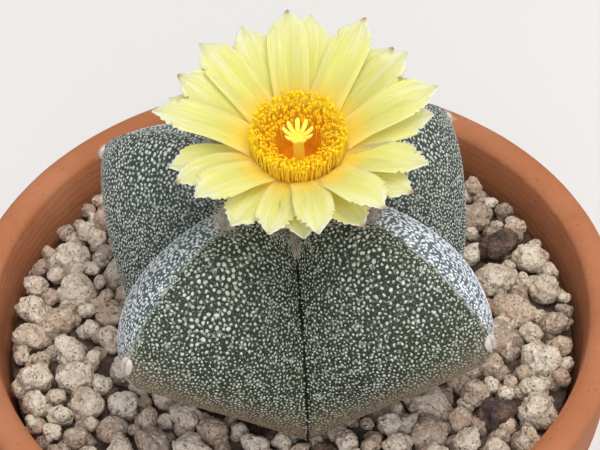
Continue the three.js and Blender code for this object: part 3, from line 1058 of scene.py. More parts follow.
@dataclass
class Dressing:
    """Pumice pebbles round the plant, an upper layer over a lower one, on a bed of grit."""

    plant: "PlantForm"
    slab_top: float = 85.2
    pebble_top: float = 88.3
    inner_radius: float = 66.8
    crowding: float = 0.83
    filler_crowding: float = 0.8
    sizes: tuple[tuple[float, int], ...] = ((5.4, 50), (4.5, 200), (3.8, 900), (3.2, 3000))
    filler_sizes: tuple[tuple[float, int], ...] = ((2.7, 2200), (2.1, 2200))
    fine_above: float = 3.1
    large_above: float = 4.0
    large_growth: float = 1.1
    shapes: int = 36
    pits: int = 22
    lower_tries: int = 7000
    lower_spacing: float = 4.3
    lower_sizes: tuple[float, float] = (2.3, 3.4)
    lower_level: float = 83.3
    # Painted shade for the lower layer, under the upper stones.
    lower_painted_shade: float = 0.25
    bed_top: float = 82.8
    bed_foot: float = 75.4
    bed_inner_radius: float = 24.0
    bed_foot_radius: float = 64.5
    bed_step: float = 1.4
    place_seed: int = 4127
    look_seed: int = 57

    def place(self) -> list[Pebble]:
        """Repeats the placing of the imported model's pebbles, then fills the gaps with smaller ones.

        Returns:
            The pebbles.
        """
        draw = make_draw(self.place_seed)
        rounds, stations = np.meshgrid(np.arange(0, 8, 0.125), np.arange(7.5, 12.01, 0.5))
        stem = self.plant.points(rounds.ravel(), stations.ravel())
        pebbles: list[Pebble] = []
        centres = np.zeros((0, 3))
        radii = np.zeros(0)
        for sizes, crowding in ((self.sizes, self.crowding), (self.filler_sizes, self.filler_crowding)):
            for radius, tries in sizes:
                for _ in range(tries):
                    r = radius * (0.9 + 0.2 * draw())
                    far = self.inner_radius - r - 0.5
                    distance = far * math.sqrt(0.15 + 0.85 * draw())
                    angle = TURN * draw()
                    height = min(self.pebble_top - 0.8 * r, self.slab_top - 0.1)
                    centre = np.array([distance * math.cos(angle), distance * math.sin(angle), height])
                    if np.any(np.linalg.norm(centres - centre, axis=1) <= crowding * (radii + r)):
                        continue
                    if np.any(np.linalg.norm(stem - centre, axis=1) <= r + 0.2):
                        continue
                    centres = np.vstack([centres, centre])
                    radii = np.append(radii, r)
                    pebbles.append(Pebble(centre, r))
        return pebbles

    def stone(self, seed: int, detail: int) -> bpy.types.Mesh:
        """Shapes one worn, pitted lump of pumice of radius about 1, often of two or three fused lobes.

        Args:
            seed: Number that sets the lump's form.
            detail: Subdivisions of the ball that it starts from.

        Returns:
            The lump, with how hollow each vertex lies stored as hollow, for the pumice's painted shade in
            pits and hollows.
        """
        rng = np.random.default_rng(seed)
        bm = bmesh.new()
        bmesh.ops.create_icosphere(bm, subdivisions=detail, radius=1.0)
        mesh = as_mesh(bm, f"stone_{seed}")
        ways = positions(mesh)
        lobes = [(np.zeros(3), 0.76)]
        for _ in range(int(rng.integers(2, 5))):
            centre = rng.normal(size=3)
            centre *= rng.uniform(0.36, 0.54) / np.linalg.norm(centre)
            lobes.append((centre, rng.uniform(0.46, 0.62)))
        reaches = []
        for centre, radius in lobes:
            along = ways @ centre
            inside = radius ** 2 - centre @ centre + along ** 2
            reaches.append(np.maximum(along + np.sqrt(np.maximum(inside, 0)), 0.05))
        reach = np.mean(np.array(reaches) ** 22, axis=0) ** (1 / 22) * 1.1
        offset = rng.uniform(-50, 50, 3)
        rough = np.array([
            0.12 * noise.noise(Vector(w * 1.6 + offset)) + 0.08 * noise.noise(Vector(w * 3.8 + offset))
            - 0.09 * abs(noise.noise(Vector(w * 6.5 + offset))) + 0.035 * noise.noise(Vector(w * 14 + offset))
            for w in ways
        ])
        pits = rng.normal(size=(self.pits, 3))
        pits /= np.linalg.norm(pits, axis=1, keepdims=True)
        sizes = rng.uniform(0.12, 0.34, self.pits)
        apart = np.linalg.norm(ways[:, None] - pits[None], axis=2) / sizes
        sunk = (smooth((1 - apart) * 1.6) * sizes * 0.5).max(axis=1)
        points = ways * (reach + rough - sunk)[:, None]
        points *= [1.06, rng.uniform(0.84, 0.98), rng.uniform(0.78, 0.92)]
        mesh.vertices.foreach_set("co", points.astype(np.float32).ravel())
        mesh.update()
        # Painted shade: the lump's pits and hollows are marked to be darker.
        give_values(mesh, "hollow", np.clip(sunk / 0.17 * 0.7 - rough * 1.6, 0, 1) * 0.6)
        return mesh

    def scatter(
        self, stamps: Stamps, pebbles: list[Pebble], detail: int, rng: np.random.Generator, painted_shade: float = 0.0
    ) -> None:
        """Adds the pebbles to a mesh.

        Args:
            stamps: The mesh that is being gathered.
            pebbles: Where the stones lie.
            detail: Subdivisions of each stone.
            rng: Source of the draws.
            painted_shade: Share that each stone's tone is lowered by, as painted shade.
        """
        count = len(pebbles)
        picks = rng.integers(0, self.shapes, count)
        centres = np.array([p.centre for p in pebbles]) * MM
        radii = np.array([p.radius for p in pebbles])
        radii *= np.where(radii > self.large_above, self.large_growth, 1.0)
        tilt = rng.normal(size=(count, 3)) * 0.45 + [0, 0, 1]
        spins = rng.uniform(0, TURN, count)
        dark, pale = rng.uniform(size=count) < 0.03, rng.uniform(0.14, 1.0, count)
        # The lower layer's stones are darker as painted shade.
        tones = np.where(dark, 0.02, pale) * (1 - painted_shade)
        placing = frames(centres, tilt, spins, radii * MM)
        for seed in range(self.shapes):
            chosen = picks == seed
            if chosen.any():
                shape = self.stone(seed, detail)
                hollow = np.tile(read_values(shape, "hollow"), (int(chosen.sum()), 1))
                stamps.add(shape, placing[chosen], tone=tones[chosen], hollow=hollow)

    def build(self, effects: SharedEffects) -> None:
        """Builds both layers of pebbles and the bed under them.

        Args:
            effects: The shared node groups.
        """
        rng = np.random.default_rng(self.look_seed)
        finish = PumiceFinish().build(effects)
        upper = self.place()
        LOG.info("%d pebbles in the upper layer", len(upper))
        large = [pebble for pebble in upper if pebble.radius > self.fine_above]
        small = [pebble for pebble in upper if pebble.radius <= self.fine_above]
        for number, share in enumerate((large[0::2], large[1::2]), 1):
            stamps = Stamps()
            self.scatter(stamps, share, 4, rng)
            name = f"pebbles_{number}"
            place_piece(stamps.mesh(name), name, Node.GRAVEL, finish)
        lower = self.place_lower(rng)
        LOG.info("%d pebbles in the lower layer", len(lower))
        stamps = Stamps()
        self.scatter(stamps, small, 3, rng)
        self.scatter(stamps, lower, 3, rng, self.lower_painted_shade)
        place_piece(stamps.mesh("pebbles_lower"), "pebbles_lower", Node.GRAVEL, finish)
        self.bed(effects)

    def place_lower(self, rng: np.random.Generator) -> list[Pebble]:
        """Scatters the lower layer of pebbles, none nearer to another than their spacing.

        Args:
            rng: Source of the draws.

        Returns:
            The pebbles.
        """
        lower: list[Pebble] = []
        centres = np.zeros((0, 2))
        for _ in range(self.lower_tries):
            radius = rng.uniform(*self.lower_sizes)
            distance = (self.inner_radius - radius - 0.4) * math.sqrt(rng.uniform(0.18, 1.0))
            angle = rng.uniform(0, TURN)
            centre = np.array([distance * math.cos(angle), distance * math.sin(angle)])
            if np.any(np.linalg.norm(centres - centre, axis=1) < self.lower_spacing):
                continue
            centres = np.vstack([centres, centre])
            lower.append(Pebble(np.append(centre, self.lower_level + rng.uniform(-0.7, 0.7)), radius))
        return lower

    def bed(self, effects: SharedEffects) -> None:
        """Builds the rough bed that shows dark between the stones: grit whose dark colours are partly painted
        shade for the gaps.

        Args:
            effects: The shared node groups.
        """
        rings = np.arange(self.bed_inner_radius, self.inner_radius - 1.2, self.bed_step)
        outline = [(radius, self.bed_top) for radius in rings]
        outline += [(self.bed_foot_radius, self.bed_foot), (self.bed_inner_radius, self.bed_foot)]
        bm = turned(outline, 150, True)
        for vert in bm.verts:
            if vert.co.z > (self.bed_top - 1) * MM:
                vert.co.z += noise.noise(vert.co * 420) * 1.1 * MM
        mesh = as_mesh(bm, "grit_bed")
        # The grit is dark partly as painted shade for the gaps between the stones.
        finish = SoilFinish("grit", srgb(62, 50, 42), srgb(116, 98, 82)).build(effects)
        place_piece(mesh, "grit_bed", Node.GRAVEL, finish)


def dress_soil(effects: SharedEffects) -> None:
    """Gives the packed soil its finish."""
    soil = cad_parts[Node.SOIL.value]
    soil.data.materials.clear()
    soil.data.materials.append(SoilFinish().build(effects))


# ---- plant ----


@dataclass(frozen=True)
class Rib:
    """One rib: the bearing of its crest, and how far it and the furrow after it reach."""

    angle: float
    reach: float
    furrow_reach: float


@dataclass(frozen=True)
class PlantForm:
    """The plant's skin as a formula, in millimetres.

    A point is given by `rounds`, which counts half ribs round the plant with each crest at an even number,
    and by `stations`, which count the points of the meridians from the crown down.
    """

    x: float = 1.1
    y: float = -1.6
    level: float = 87.0
    ribs: tuple[Rib, ...] = (
        Rib(-135.3, 0.985, 1.04),
        Rib(-38.6, 1.025, 1.12),
        Rib(45.6, 1.02, 1.05),
        Rib(144.8, 1.015, 1.08),
    )
    crest: tuple[tuple[float, float], ...] = (
        (0, 43), (7, 45.2), (15, 47.2), (25, 47.2), (35, 44.4), (43, 39.7), (48.8, 34.4), (51.8, 29),
        (51.2, 24), (46.5, 17), (39, 9), (31, 0), (22, -6), (10, -9), (6.5, -13), (4.2, -25), (0, -36),
    )
    furrow: tuple[tuple[float, float], ...] = (
        (0, 43), (4, 41.8), (9, 40), (15, 37.2), (21, 33), (26, 28), (30, 22), (32.6, 16), (33.8, 10),
        (33.8, 5), (32.4, 0), (27, -5), (20, -7.5), (10, -9), (6.5, -13), (4.2, -25), (0, -36),
    )
    root_station: float = 13.0
    bulge: float = 5.2
    fullness: float = 2.3
    bulge_centre: float = 18.0

    @staticmethod
    def along(points: tuple, stations: np.ndarray) -> np.ndarray:
        """Reads a smooth line through points at stations counted in points.

        Args:
            points: Radius and height of each point.
            stations: Where the line is read.

        Returns:
            Radius and height at each station, as rows.
        """
        table = np.array(points, float)
        last = len(table) - 1
        at = np.clip(stations, 0, last)
        index = np.minimum(at.astype(int), last - 1)
        t = (at - index)[:, None]
        p0, p1, p2, p3 = (table[np.clip(index + k, 0, last)] for k in (-1, 0, 1, 2))
        rise, bow, twist = p2 - p0, 2 * p0 - 5 * p1 + 4 * p2 - p3, 3 * p1 - p0 - 3 * p2 + p3
        return 0.5 * (2 * p1 + rise * t + bow * t * t + twist * t ** 3)

    def points(self, rounds: np.ndarray, stations: np.ndarray) -> np.ndarray:
        """Gives points of the skin.

        Args:
            rounds: Half ribs round the plant.
            stations: Stations down the meridians.

        Returns:
            The points as rows, in millimetres.
        """
        half = np.floor(rounds).astype(int) % 8
        rib = ((half + 1) // 2) % 4
        furrow = half // 2
        t = rounds - np.floor(rounds)
        q = np.where(half % 2 == 0, 1 - t, t)[:, None]
        angles = np.array([r.angle for r in self.ribs])
        gaps = (np.roll(angles, -1) - angles) % 360
        crest_angle = np.radians(angles[rib])
        furrow_angle = np.radians((angles + gaps / 2)[furrow])
        fade = 1 - smooth((stations - 9) / 4)
        crest = self.along(self.crest, stations)
        valley = self.along(self.furrow, stations)
        crest_reach = 1 + (np.array([r.reach for r in self.ribs])[rib] - 1) * fade
        furrow_reach = 1 + (np.array([r.furrow_reach for r in self.ribs])[furrow] - 1) * fade
        high = polar(crest[:, 0] * crest_reach, crest_angle, crest[:, 1])
        deep = polar(valley[:, 0] * furrow_reach, furrow_angle, valley[:, 1])
        p = deep * (1 - q) + high * q
        out = p - [0, 0, self.bulge_centre]
        out /= np.maximum(np.linalg.norm(out, axis=1, keepdims=True), 1e-6)
        along = self.bulge * smooth(stations / 3.6) * (1 - smooth((stations - 4.8) / 5.7))
        across = 1 - np.abs(2 * q - 1) ** self.fullness
        p = p + out * along[:, None] * across
        root = stations >= self.root_station
        flat = np.maximum(np.hypot(p[:, 0], p[:, 1]), 1e-6)
        round_up = np.where(root, crest[:, 0] / flat, 1.0)
        p[:, 0] *= round_up
        p[:, 1] *= round_up
        return p + [self.x, self.y, self.level]

    def normals(self, rounds: np.ndarray, stations: np.ndarray) -> np.ndarray:
        """Gives the outward directions of the skin at points within a flank.

        Args:
            rounds: Half ribs round the plant.
            stations: Stations down the meridians.

        Returns:
            Directions of length 1, as rows.
        """
        step = 0.02
        around = self.points(rounds + step, stations) - self.points(rounds - step, stations)
        down = self.points(rounds, stations + step) - self.points(rounds, stations - step)
        normal = np.cross(down, around)
        return normal / np.maximum(np.linalg.norm(normal, axis=1, keepdims=True), 1e-9)

    def outward(self, points: np.ndarray, above: float) -> np.ndarray:
        """Gives directions to the points from a spot on the plant's axis, so far above the dressing."""
        out = points - [self.x, self.y, self.level + above]
        return out / np.linalg.norm(out, axis=1, keepdims=True)

    @staticmethod
    def ridge_share(rounds: np.ndarray) -> np.ndarray:
        """Gives 0 in a furrow and 1 on a crest."""
        t = rounds - np.floor(rounds)
        half = np.floor(rounds).astype(int) % 2
        return np.where(half == 0, 1 - t, t)


@dataclass
class Plant:
    """The ribbed body with its flecks, areoles and wool."""

    form: PlantForm
    around: int = 224
    down: int = 172
    root_share: float = 0.08
    body_stations: float = 12.5
    root_stations: float = 3.5
    crest_width: float = 0.012
    fleck_tries: int = 34000
    wide_spacing: float = 1.15
    close_spacing: float = 0.69
    # Painted light for each half rib: whiter, bigger, closer flecks in wavy rows and a pale bluish skin stand
    # in for light on the flanks that catch it.
    flank_frost: tuple[float, ...] = (0.0, 0.0, 1.0, 0.2, 0.6, 0.6, 0.2, 0.6)
    row_frost: float = 0.5
    tip_station: float = 6.9
    crown_station: float = 2.5
    crown_hairs: int = 3200
    furrow_hairs: int = 1300
    hair_kinds: int = 6
    fleck_seed: int = 11
    wool_seed: int = 23

    def skin(self, effects: SharedEffects) -> None:
        """Builds the skin from a ball whose poles become crown and root.

        Args:
            effects: The shared node groups.
        """
        bm = bmesh.new()
        bmesh.ops.create_uvsphere(bm, u_segments=self.around, v_segments=self.down, radius=1.0)
        mesh = as_mesh(bm, "plant_skin")
        ball = positions(mesh)
        turn = np.arctan2(ball[:, 1], ball[:, 0]) / TURN * 8
        rounds = np.where(turn < -1e-6, turn + 8, np.maximum(turn, 0))
        rounds = np.where(np.abs(rounds - np.round(rounds)) < 1e-4, np.round(rounds), rounds) % 8
        rounds = np.floor(rounds) + (1 - np.cos(math.pi * (rounds - np.floor(rounds)))) / 2
        depth = np.arccos(np.clip(ball[:, 2], -1, 1)) / math.pi
        body = 1 - self.root_share
        root = self.body_stations + (depth - body) / self.root_share * self.root_stations
        stations = np.where(depth < body, depth / body * self.body_stations, root)
        points = self.form.points(rounds, stations)
        share = self.form.ridge_share(rounds)
        ridge = 0.2 * hump(1 - share, self.crest_width)
        crease = 0.8 * hump(share, self.crest_width)
        fade = smooth(stations / 2) * (1 - smooth((stations - 10) / 2))
        out = self.form.outward(points, self.form.bulge_centre)
        points += out * ((ridge - crease) * fade)[:, None]
        mesh.vertices.foreach_set("co", (points * MM).astype(np.float32).ravel())
        mesh.update()
        side = smooth(stations / 2) * (1 - smooth((stations - 9) / 2))
        give_values(mesh, "edge", hump(1 - share, 0.015) * side)
        # Painted shade along the furrows' creases.
        give_values(mesh, "crease", hump(share, 0.009) * (1 - smooth((stations - 11) / 2)))
        give_values(mesh, "low", self.age(share, stations))
        # Painted light: a pale bluish cast on the flanks with painted light, kept off the crest and furrow.
        frost = np.array(self.flank_frost)[np.floor(rounds).astype(int) % 8]
        pale = frost * smooth((share - 0.01) / 0.05) * smooth((0.99 - share) / 0.03)
        give_values(mesh, "pale", pale * side)
        near_edges = np.maximum(hump(1 - share, 0.2), hump(share, 0.12))
        dense = 0.5 + 0.3 * near_edges + 0.25 * smooth((stations - 6) / 3)
        give_values(mesh, "dense", np.clip(dense, 0, 0.9))
        place_piece(mesh, "plant_skin", Node.PLANT, SkinFinish().build(effects))

    def spacing(self, share: np.ndarray, stations: np.ndarray) -> np.ndarray:
        """Gives how far apart flecks stand: wide in the middle of a flank, close near its edges."""
        middle = hump(share - 0.58, 0.3) * hump(stations - 4.1, 2.0)
        low = 0.1 * smooth((stations - 7.5) / 2)
        return self.close_spacing + (self.wide_spacing - self.close_spacing) * middle - low

    def age(self, share: np.ndarray, stations: np.ndarray) -> np.ndarray:
        """Gives how far the skin has turned corky: sooner under a crest than in a furrow."""
        return smooth((stations - 7.1 + 1.6 * share) / 2.5)

    def rows(self, rounds: np.ndarray, stations: np.ndarray) -> np.ndarray:
        """Tells which places lie in the wavy rows of flecks, and not on the bare lines between them."""
        share = self.form.ridge_share(rounds)
        wander = np.sin(share * 11 + stations * 3)
        return np.sin(stations * 24 + share * 8 + 1.6 * wander) < 0.62

    def spread(self, flank: int, rng: np.random.Generator) -> tuple[np.ndarray, np.ndarray, np.ndarray]:
        """Scatters flecks over one flank, none nearer to another than its own spacing.

        Args:
            flank: Number of the half rib.
            rng: Source of the draws.

        Returns:
            Rounds, stations and spacing of the flecks.
        """
        frost = self.flank_frost[flank]
        rounds = flank + rng.uniform(0.007, 0.993, self.fleck_tries)
        stations = rng.uniform(0.9, 11.4, self.fleck_tries)
        # Flanks with much painted light get wavy rows of closer flecks, standing in for light.
        if frost >= self.row_frost:
            clear = self.rows(rounds, stations)
            rounds, stations = rounds[clear], stations[clear]
        spacing = self.spacing(self.form.ridge_share(rounds), stations) * rng.uniform(0.85, 1.1, len(rounds))
        spacing *= 1 - 0.16 * smooth(frost / self.row_frost)
        cell = self.wide_spacing * 0.55
        points = self.form.points(rounds, stations)
        keys = np.floor(points / cell).astype(int).tolist()
        grid: dict[tuple[int, ...], list[tuple[float, float, float]]] = {}
        kept = []
        for i, ((x, y, z), key, gap) in enumerate(zip(points.tolist(), keys, spacing.tolist())):
            reach = 1 if gap <= cell else 2
            cells = product(*(range(k - reach, k + reach + 1) for k in key))
            near = (other for at in cells for other in grid.get(at, ()))
            if all((a - x) ** 2 + (b - y) ** 2 + (c - z) ** 2 >= gap ** 2 for a, b, c in near):
                grid.setdefault(tuple(key), []).append((x, y, z))
                kept.append(i)
        index = np.array(kept)
        return rounds[index], stations[index], spacing[index]

    def fleck_template(self, seed: int, sides: int, crown: float) -> bpy.types.Mesh:
        """Makes a low, uneven tuft of radius about 1 and height 1, its foot just below the skin.

        Args:
            seed: Number that sets its outline.
            sides: How many sides it has.
            crown: Radius of its flat top: 0 gives a point.

        Returns:
            The tuft.
        """
        rng = np.random.default_rng(seed)
        bm = bmesh.new()
        bmesh.ops.create_cone(bm, cap_ends=True, segments=sides, radius1=1.0, radius2=crown, depth=1.0)
        bmesh.ops.remove_doubles(bm, verts=bm.verts, dist=1e-4)
        bmesh.ops.translate(bm, vec=(0, 0, 0.38), verts=bm.verts)
        for vert in bm.verts:
            swell = rng.uniform(0.66, 1.3)
            vert.co.x *= swell
            vert.co.y *= swell
        return as_mesh(bm, f"fleck_{seed}")

    def flecks(self, effects: SharedEffects) -> None:
        """Builds the white flecks, one piece for each rib.

        Args:
            effects: The shared node groups.
        """
        rng = np.random.default_rng(self.fleck_seed)
        finish = FeltFinish("fleck_felt", srgb(218, 222, 208), srgb(162, 170, 152)).build(effects)
        templates = [self.fleck_template(seed, 7, 0.55) for seed in range(5)]
        templates += [self.fleck_template(seed, 5, 0.0) for seed in range(5, 10)]
        for rib in range(4):
            stamps = Stamps()
            for flank in ((2 * rib - 1) % 8, 2 * rib):
                rounds, stations, spacing = self.spread(flank, rng)
                points = self.form.points(rounds, stations) * MM
                ups = self.form.normals(rounds, stations)
                count = len(points)
                # Painted light: flecks on flanks with painted light are wider and take the bluish white cast.
                frost = self.flank_frost[flank]
                width = (0.09 + 0.335 * spacing) * rng.uniform(0.62, 1.2, count) * (1 + 0.6 * frost)
                short, long = rng.uniform(1.0, 1.4, count), rng.uniform(1.0, 1.75, count)
                stretch = np.where(spacing > 1.0, short, long)
                thick = 0.07 + 0.07 * width
                scales = np.stack([width / stretch ** 0.5, width * stretch ** 0.5, thick], axis=1) * MM
                placing = frames(points, ups, rng.normal(0, 0.9, count), scales)
                tones = rng.uniform(0.1, 1.0, count)
                aged = self.age(self.form.ridge_share(rounds), stations)
                kinds = rng.integers(0, 5, count) + np.where(spacing > 0.95, 0, 5)
                frosts = np.full(count, frost)
                stamps.add_kinds(templates, kinds, placing, tone=tones, aged=aged, frost=frosts)
            name = f"flecks_{rib + 1}"
            place_piece(stamps.mesh(name), name, Node.PLANT, finish)

    def hair(self, seed: int, thickness: float) -> bpy.types.Mesh:
        """Makes one tapered, bent hair of length 1.

        Args:
            seed: Number that sets how it bends.
            thickness: Radius of its foot as a share of its length.

        Returns:
            The hair.
        """
        rng = np.random.default_rng(seed)
        bm = strand(3, thickness, thickness * 0.35, 2)
        lean, wave = rng.uniform(0.1, 0.4), rng.uniform(-0.07, 0.07)
        for vert in bm.verts:
            z = vert.co.z
            vert.co.x += lean * z * z
            vert.co.y += wave * math.sin(z * 5)
            vert.co.z = z * (1 - 0.25 * lean * z)
        return as_mesh(bm, f"hair_{seed}")

    def comb(
        self, stamps: Stamps, roots: np.ndarray, ways: np.ndarray, lengths: np.ndarray, tones: np.ndarray,
        rng: np.random.Generator, thickness: float,
    ) -> None:
        """Plants hairs.

        Args:
            stamps: The mesh that is being gathered.
            roots: Foot of each hair in metres, as rows.
            ways: Direction of each hair, as rows.
            lengths: Length of each hair in metres.
            tones: Tone of each hair, from 0 to 1.
            rng: Source of the draws.
            thickness: Radius of a foot as a share of the length.
        """
        kinds = rng.integers(0, self.hair_kinds, len(roots))
        spins = rng.uniform(0, TURN, len(roots))
        placing = frames(roots, ways, spins, lengths)
        hairs = [self.hair(kind, thickness) for kind in range(self.hair_kinds)]
        stamps.add_kinds(hairs, kinds, placing, tone=tones)

    def areole_cushion(
        self, stamps: Stamps, rounds: float, station: float, size: tuple[float, float, float], slit: float
    ) -> None:
        """Adds a felt cushion on a crest, with a furrow down its middle that is darker with painted shade.

        Args:
            stamps: The mesh that is being gathered.
            rounds: Place round the plant.
            station: Place down the crest.
            size: Half width, half length and half height in millimetres.
            slit: How deep the furrow is, as a share of the height, and how dark its painted shade is.
        """
        bm = bmesh.new()
        bmesh.ops.create_uvsphere(bm, u_segments=40, v_segments=24, radius=1.0)
        for vert in bm.verts:
            way = vert.co.copy()
            rough = 1 + 0.16 * noise.noise(way * 2.2 + Vector((rounds, 7, 1))) + 0.1 * noise.noise(way * 7)
            groove = hump(way.x, 0.22) * max(0.0, way.z) * slit
            vert.co = way * rough
            vert.co.z -= groove
        mesh = as_mesh(bm, "cushion")
        seat = self.form.points(np.array([rounds]), np.array([station]))
        up = self.form.outward(seat, self.form.bulge_centre)
        placing = frames((seat - up * 0.25) * MM, up, np.array([0.0]), np.array([size]) * MM)
        # Painted shade: the felt is darker along the furrow.
        tone = 0.75 - 1.2 * hump(positions(mesh)[:, 0], 0.16) * slit
        stamps.add(mesh, placing, tone=np.clip(tone, 0, 1)[None])

    def areole_hairs(
        self, stamps: Stamps, rounds: float, station: float, spread: float, count: int, length: float,
        rng: np.random.Generator,
    ) -> None:
        """Plants the short hairs of an areole.

        Args:
            stamps: The mesh that is being gathered.
            rounds: Place round the plant.
            station: Place down the crest.
            spread: How far the hairs stand round the place, in millimetres.
            count: How many hairs it has.
            length: Their length in millimetres.
            rng: Source of the draws.
        """
        centre = self.form.points(np.array([rounds]), np.array([station]))
        up = self.form.outward(centre, self.form.bulge_centre)
        scatter = rng.normal(size=(count, 3)) * spread * 0.55
        scatter -= (scatter @ up[0])[:, None] * up
        roots = (centre + scatter + up * 0.3) * MM
        ways = up + scatter / spread * 0.8 + rng.normal(size=(count, 3)) * 0.3
        lengths = rng.uniform(0.6, 1.1, count) * length * MM
        self.comb(stamps, roots, ways, lengths, rng.uniform(0.3, 1.0, count), rng, 0.05)

    def wool(self, effects: SharedEffects) -> None:
        """Builds the areoles' felt and the wool round the flower's foot.

        Args:
            effects: The shared node groups.
        """
        rng = np.random.default_rng(self.wool_seed)
        felt = FeltFinish("areole_felt", srgb(232, 220, 206), srgb(196, 178, 162)).build(effects)
        stamps = Stamps()
        for crest in (0.0, 2.0, 4.0, 6.0):
            self.areole_cushion(stamps, crest, self.tip_station, (1.45, 2.1, 0.9), 0.6)
            self.areole_cushion(stamps, crest, self.crown_station, (2.0, 1.9, 1.2), 0.5)
            self.areole_hairs(stamps, crest, self.tip_station, 1.3, 150, 0.8, rng)
            self.areole_hairs(stamps, crest, self.crown_station, 2.4, 420, 2.3, rng)
        place_piece(stamps.mesh("areoles"), "areoles", Node.PLANT, felt)
        tuft = FeltFinish("crown_wool", srgb(254, 244, 226), srgb(216, 192, 162)).build(effects)
        stamps = Stamps()
        rounds = rng.uniform(0, 8, self.crown_hairs)
        stations = rng.uniform(0.5, 2.1, self.crown_hairs) * (1.18 - 0.24 * self.form.ridge_share(rounds))
        furrowed = rng.integers(0, 4, self.furrow_hairs) * 2 + 1 + rng.normal(0, 0.045, self.furrow_hairs)
        rounds = np.concatenate([rounds, furrowed])
        stations = np.concatenate([stations, rng.uniform(1.3, 2.6, self.furrow_hairs)])
        count = len(rounds)
        furrow = np.arange(count) >= self.crown_hairs
        roots = self.form.points(rounds, stations)
        out = self.form.outward(roots, 2 * self.form.bulge_centre)
        downhill = self.form.points(rounds, stations + 0.1) - roots
        downhill /= np.linalg.norm(downhill, axis=1, keepdims=True)
        ways = out * np.where(furrow, 0.5, 0.7)[:, None] + downhill * np.where(furrow, 1.0, 0.6)[:, None]
        ways += rng.normal(size=(count, 3)) * 0.2
        lengths = rng.uniform(2.4, 4.6, count) * np.where(furrow, 0.6, 1.0) * MM
        self.comb(stamps, roots * MM, ways, lengths, rng.uniform(0, 1, count) ** 0.7, rng, 0.019)
        place_piece(stamps.mesh("crown_wool"), "crown_wool", Node.PLANT, tuft)

    def build(self, effects: SharedEffects) -> None:
        """Builds the whole plant."""
        self.skin(effects)
        self.flecks(effects)
        self.wool(effects)


# ---- flower ----


@dataclass(frozen=True)
class FlowerSeat:
    """Where the flower stands: the plane of its petals' roots, and its lean, in millimetres."""

    x: float = 3.1
    y: float = -3.3
    z: float = 145.0
    tilt: float = 9.0

    def matrix(self) -> Matrix:
        """Gives the matrix that takes the flower's own millimetres to the scene's metres."""
        turn = Matrix.Rotation(math.radians(self.tilt), 4, "X")
        return Matrix.Translation(Vector((self.x, self.y, self.z)) * MM) @ turn @ Matrix.Scale(MM, 4)

    def settle(self, mesh: bpy.types.Mesh) -> bpy.types.Mesh:
        """Moves a mesh modelled in the flower's own frame to the scene."""
        mesh.transform(self.matrix())
        return mesh


@dataclass
class FlowerTube:
    """The tube under the petals, with its rows of scales."""

    seat: FlowerSeat
    profile: tuple[tuple[float, float], ...] = (
        (0, -19), (4, -19), (4.3, -15.5), (4.6, -12), (5.3, -9.6), (6.2, -7.5), (7.4, -5.1), (8.6, -3),
        (9.9, -1.3), (10.9, -0.3), (10.9, 0.1), (10.3, 0.3), (9.7, 0), (9.2, -0.7), (8.6, -1.4), (7.5, -3.8),
        (6.3, -6), (3, -6.3), (0, -6.3),
    )
    outside_start: int = 1
    outside_end: int = 10
    rows: int = 6
    per_row: int = 9
    lowest_row: float = -14.0
    row_step: float = 2.0
    thickness: float = 0.22

    def scale(self, angle: float, height: float, seed: int) -> tuple[bpy.types.Mesh, np.ndarray]:
        """Shapes one pointed scale that lies on the tube.

        Args:
            angle: Its bearing on the tube in radians.
            height: Height of its foot.
            seed: Number that sets its small differences.

        Returns:
            The scale, and its share from foot to point for each vertex.
        """
        rng = np.random.default_rng(seed)
        bm = bmesh.new()
        bmesh.ops.create_grid(bm, x_segments=10, y_segments=6, size=1.0)
        radii, heights = zip(*self.profile[self.outside_start:self.outside_end])
        length = rng.uniform(4.6, 6.2)
        width = rng.uniform(1.5, 2.0)
        for vert in bm.verts:
            u, v = (vert.co.x + 1) / 2, vert.co.y
            z = height + length * u
            r = float(np.interp(z, heights, radii))
            lift = 0.25 + 0.9 * u * u
            half = width * (1 - u ** 1.8) * (0.75 + 0.5 * u) + 0.06
            spin = angle + v * half / max(r, 3.5)
            reach = r + lift - 0.25 * v * v
            vert.co = (reach * math.cos(spin), reach * math.sin(spin), z)
        bmesh.ops.recalc_face_normals(bm, faces=bm.faces)
        bmesh.ops.solidify(bm, geom=bm.faces[:], thickness=self.thickness)
        mesh = as_mesh(bm, "scale")
        return mesh, np.clip((positions(mesh)[:, 2] - height) / length, 0, 1)

    def build(self, effects: SharedEffects) -> None:
        """Builds the tube and its scales as one piece.

        Args:
            effects: The shared node groups.
        """
        bm = turned(list(self.profile), 96, False)
        for vert in bm.verts:
            way = math.atan2(vert.co.y, vert.co.x)
            swell = 1 + 0.02 * math.sin(7 * way) + 0.02 * noise.noise(vert.co * 400)
            vert.co.x *= swell
            vert.co.y *= swell
        shell = as_own_mesh(bm, "tube_shell")
        stamps = Stamps()
        stamps.add(shell, STILL, along=np.zeros((1, len(shell.vertices))))
        for row in range(self.rows):
            height = self.lowest_row + row * self.row_step
            for place in range(self.per_row):
                angle = TURN * (place + 0.5 * (row % 2)) / self.per_row
                mesh, share = self.scale(angle, height, row * 20 + place)
                stamps.add(mesh, STILL, along=(0.1 + 0.8 * share ** 2)[None])
        tube = self.seat.settle(stamps.mesh("flower_tube_scales"))
        place_piece(tube, "flower_tube_scales", Node.TUBE, TubeFinish().build(effects))


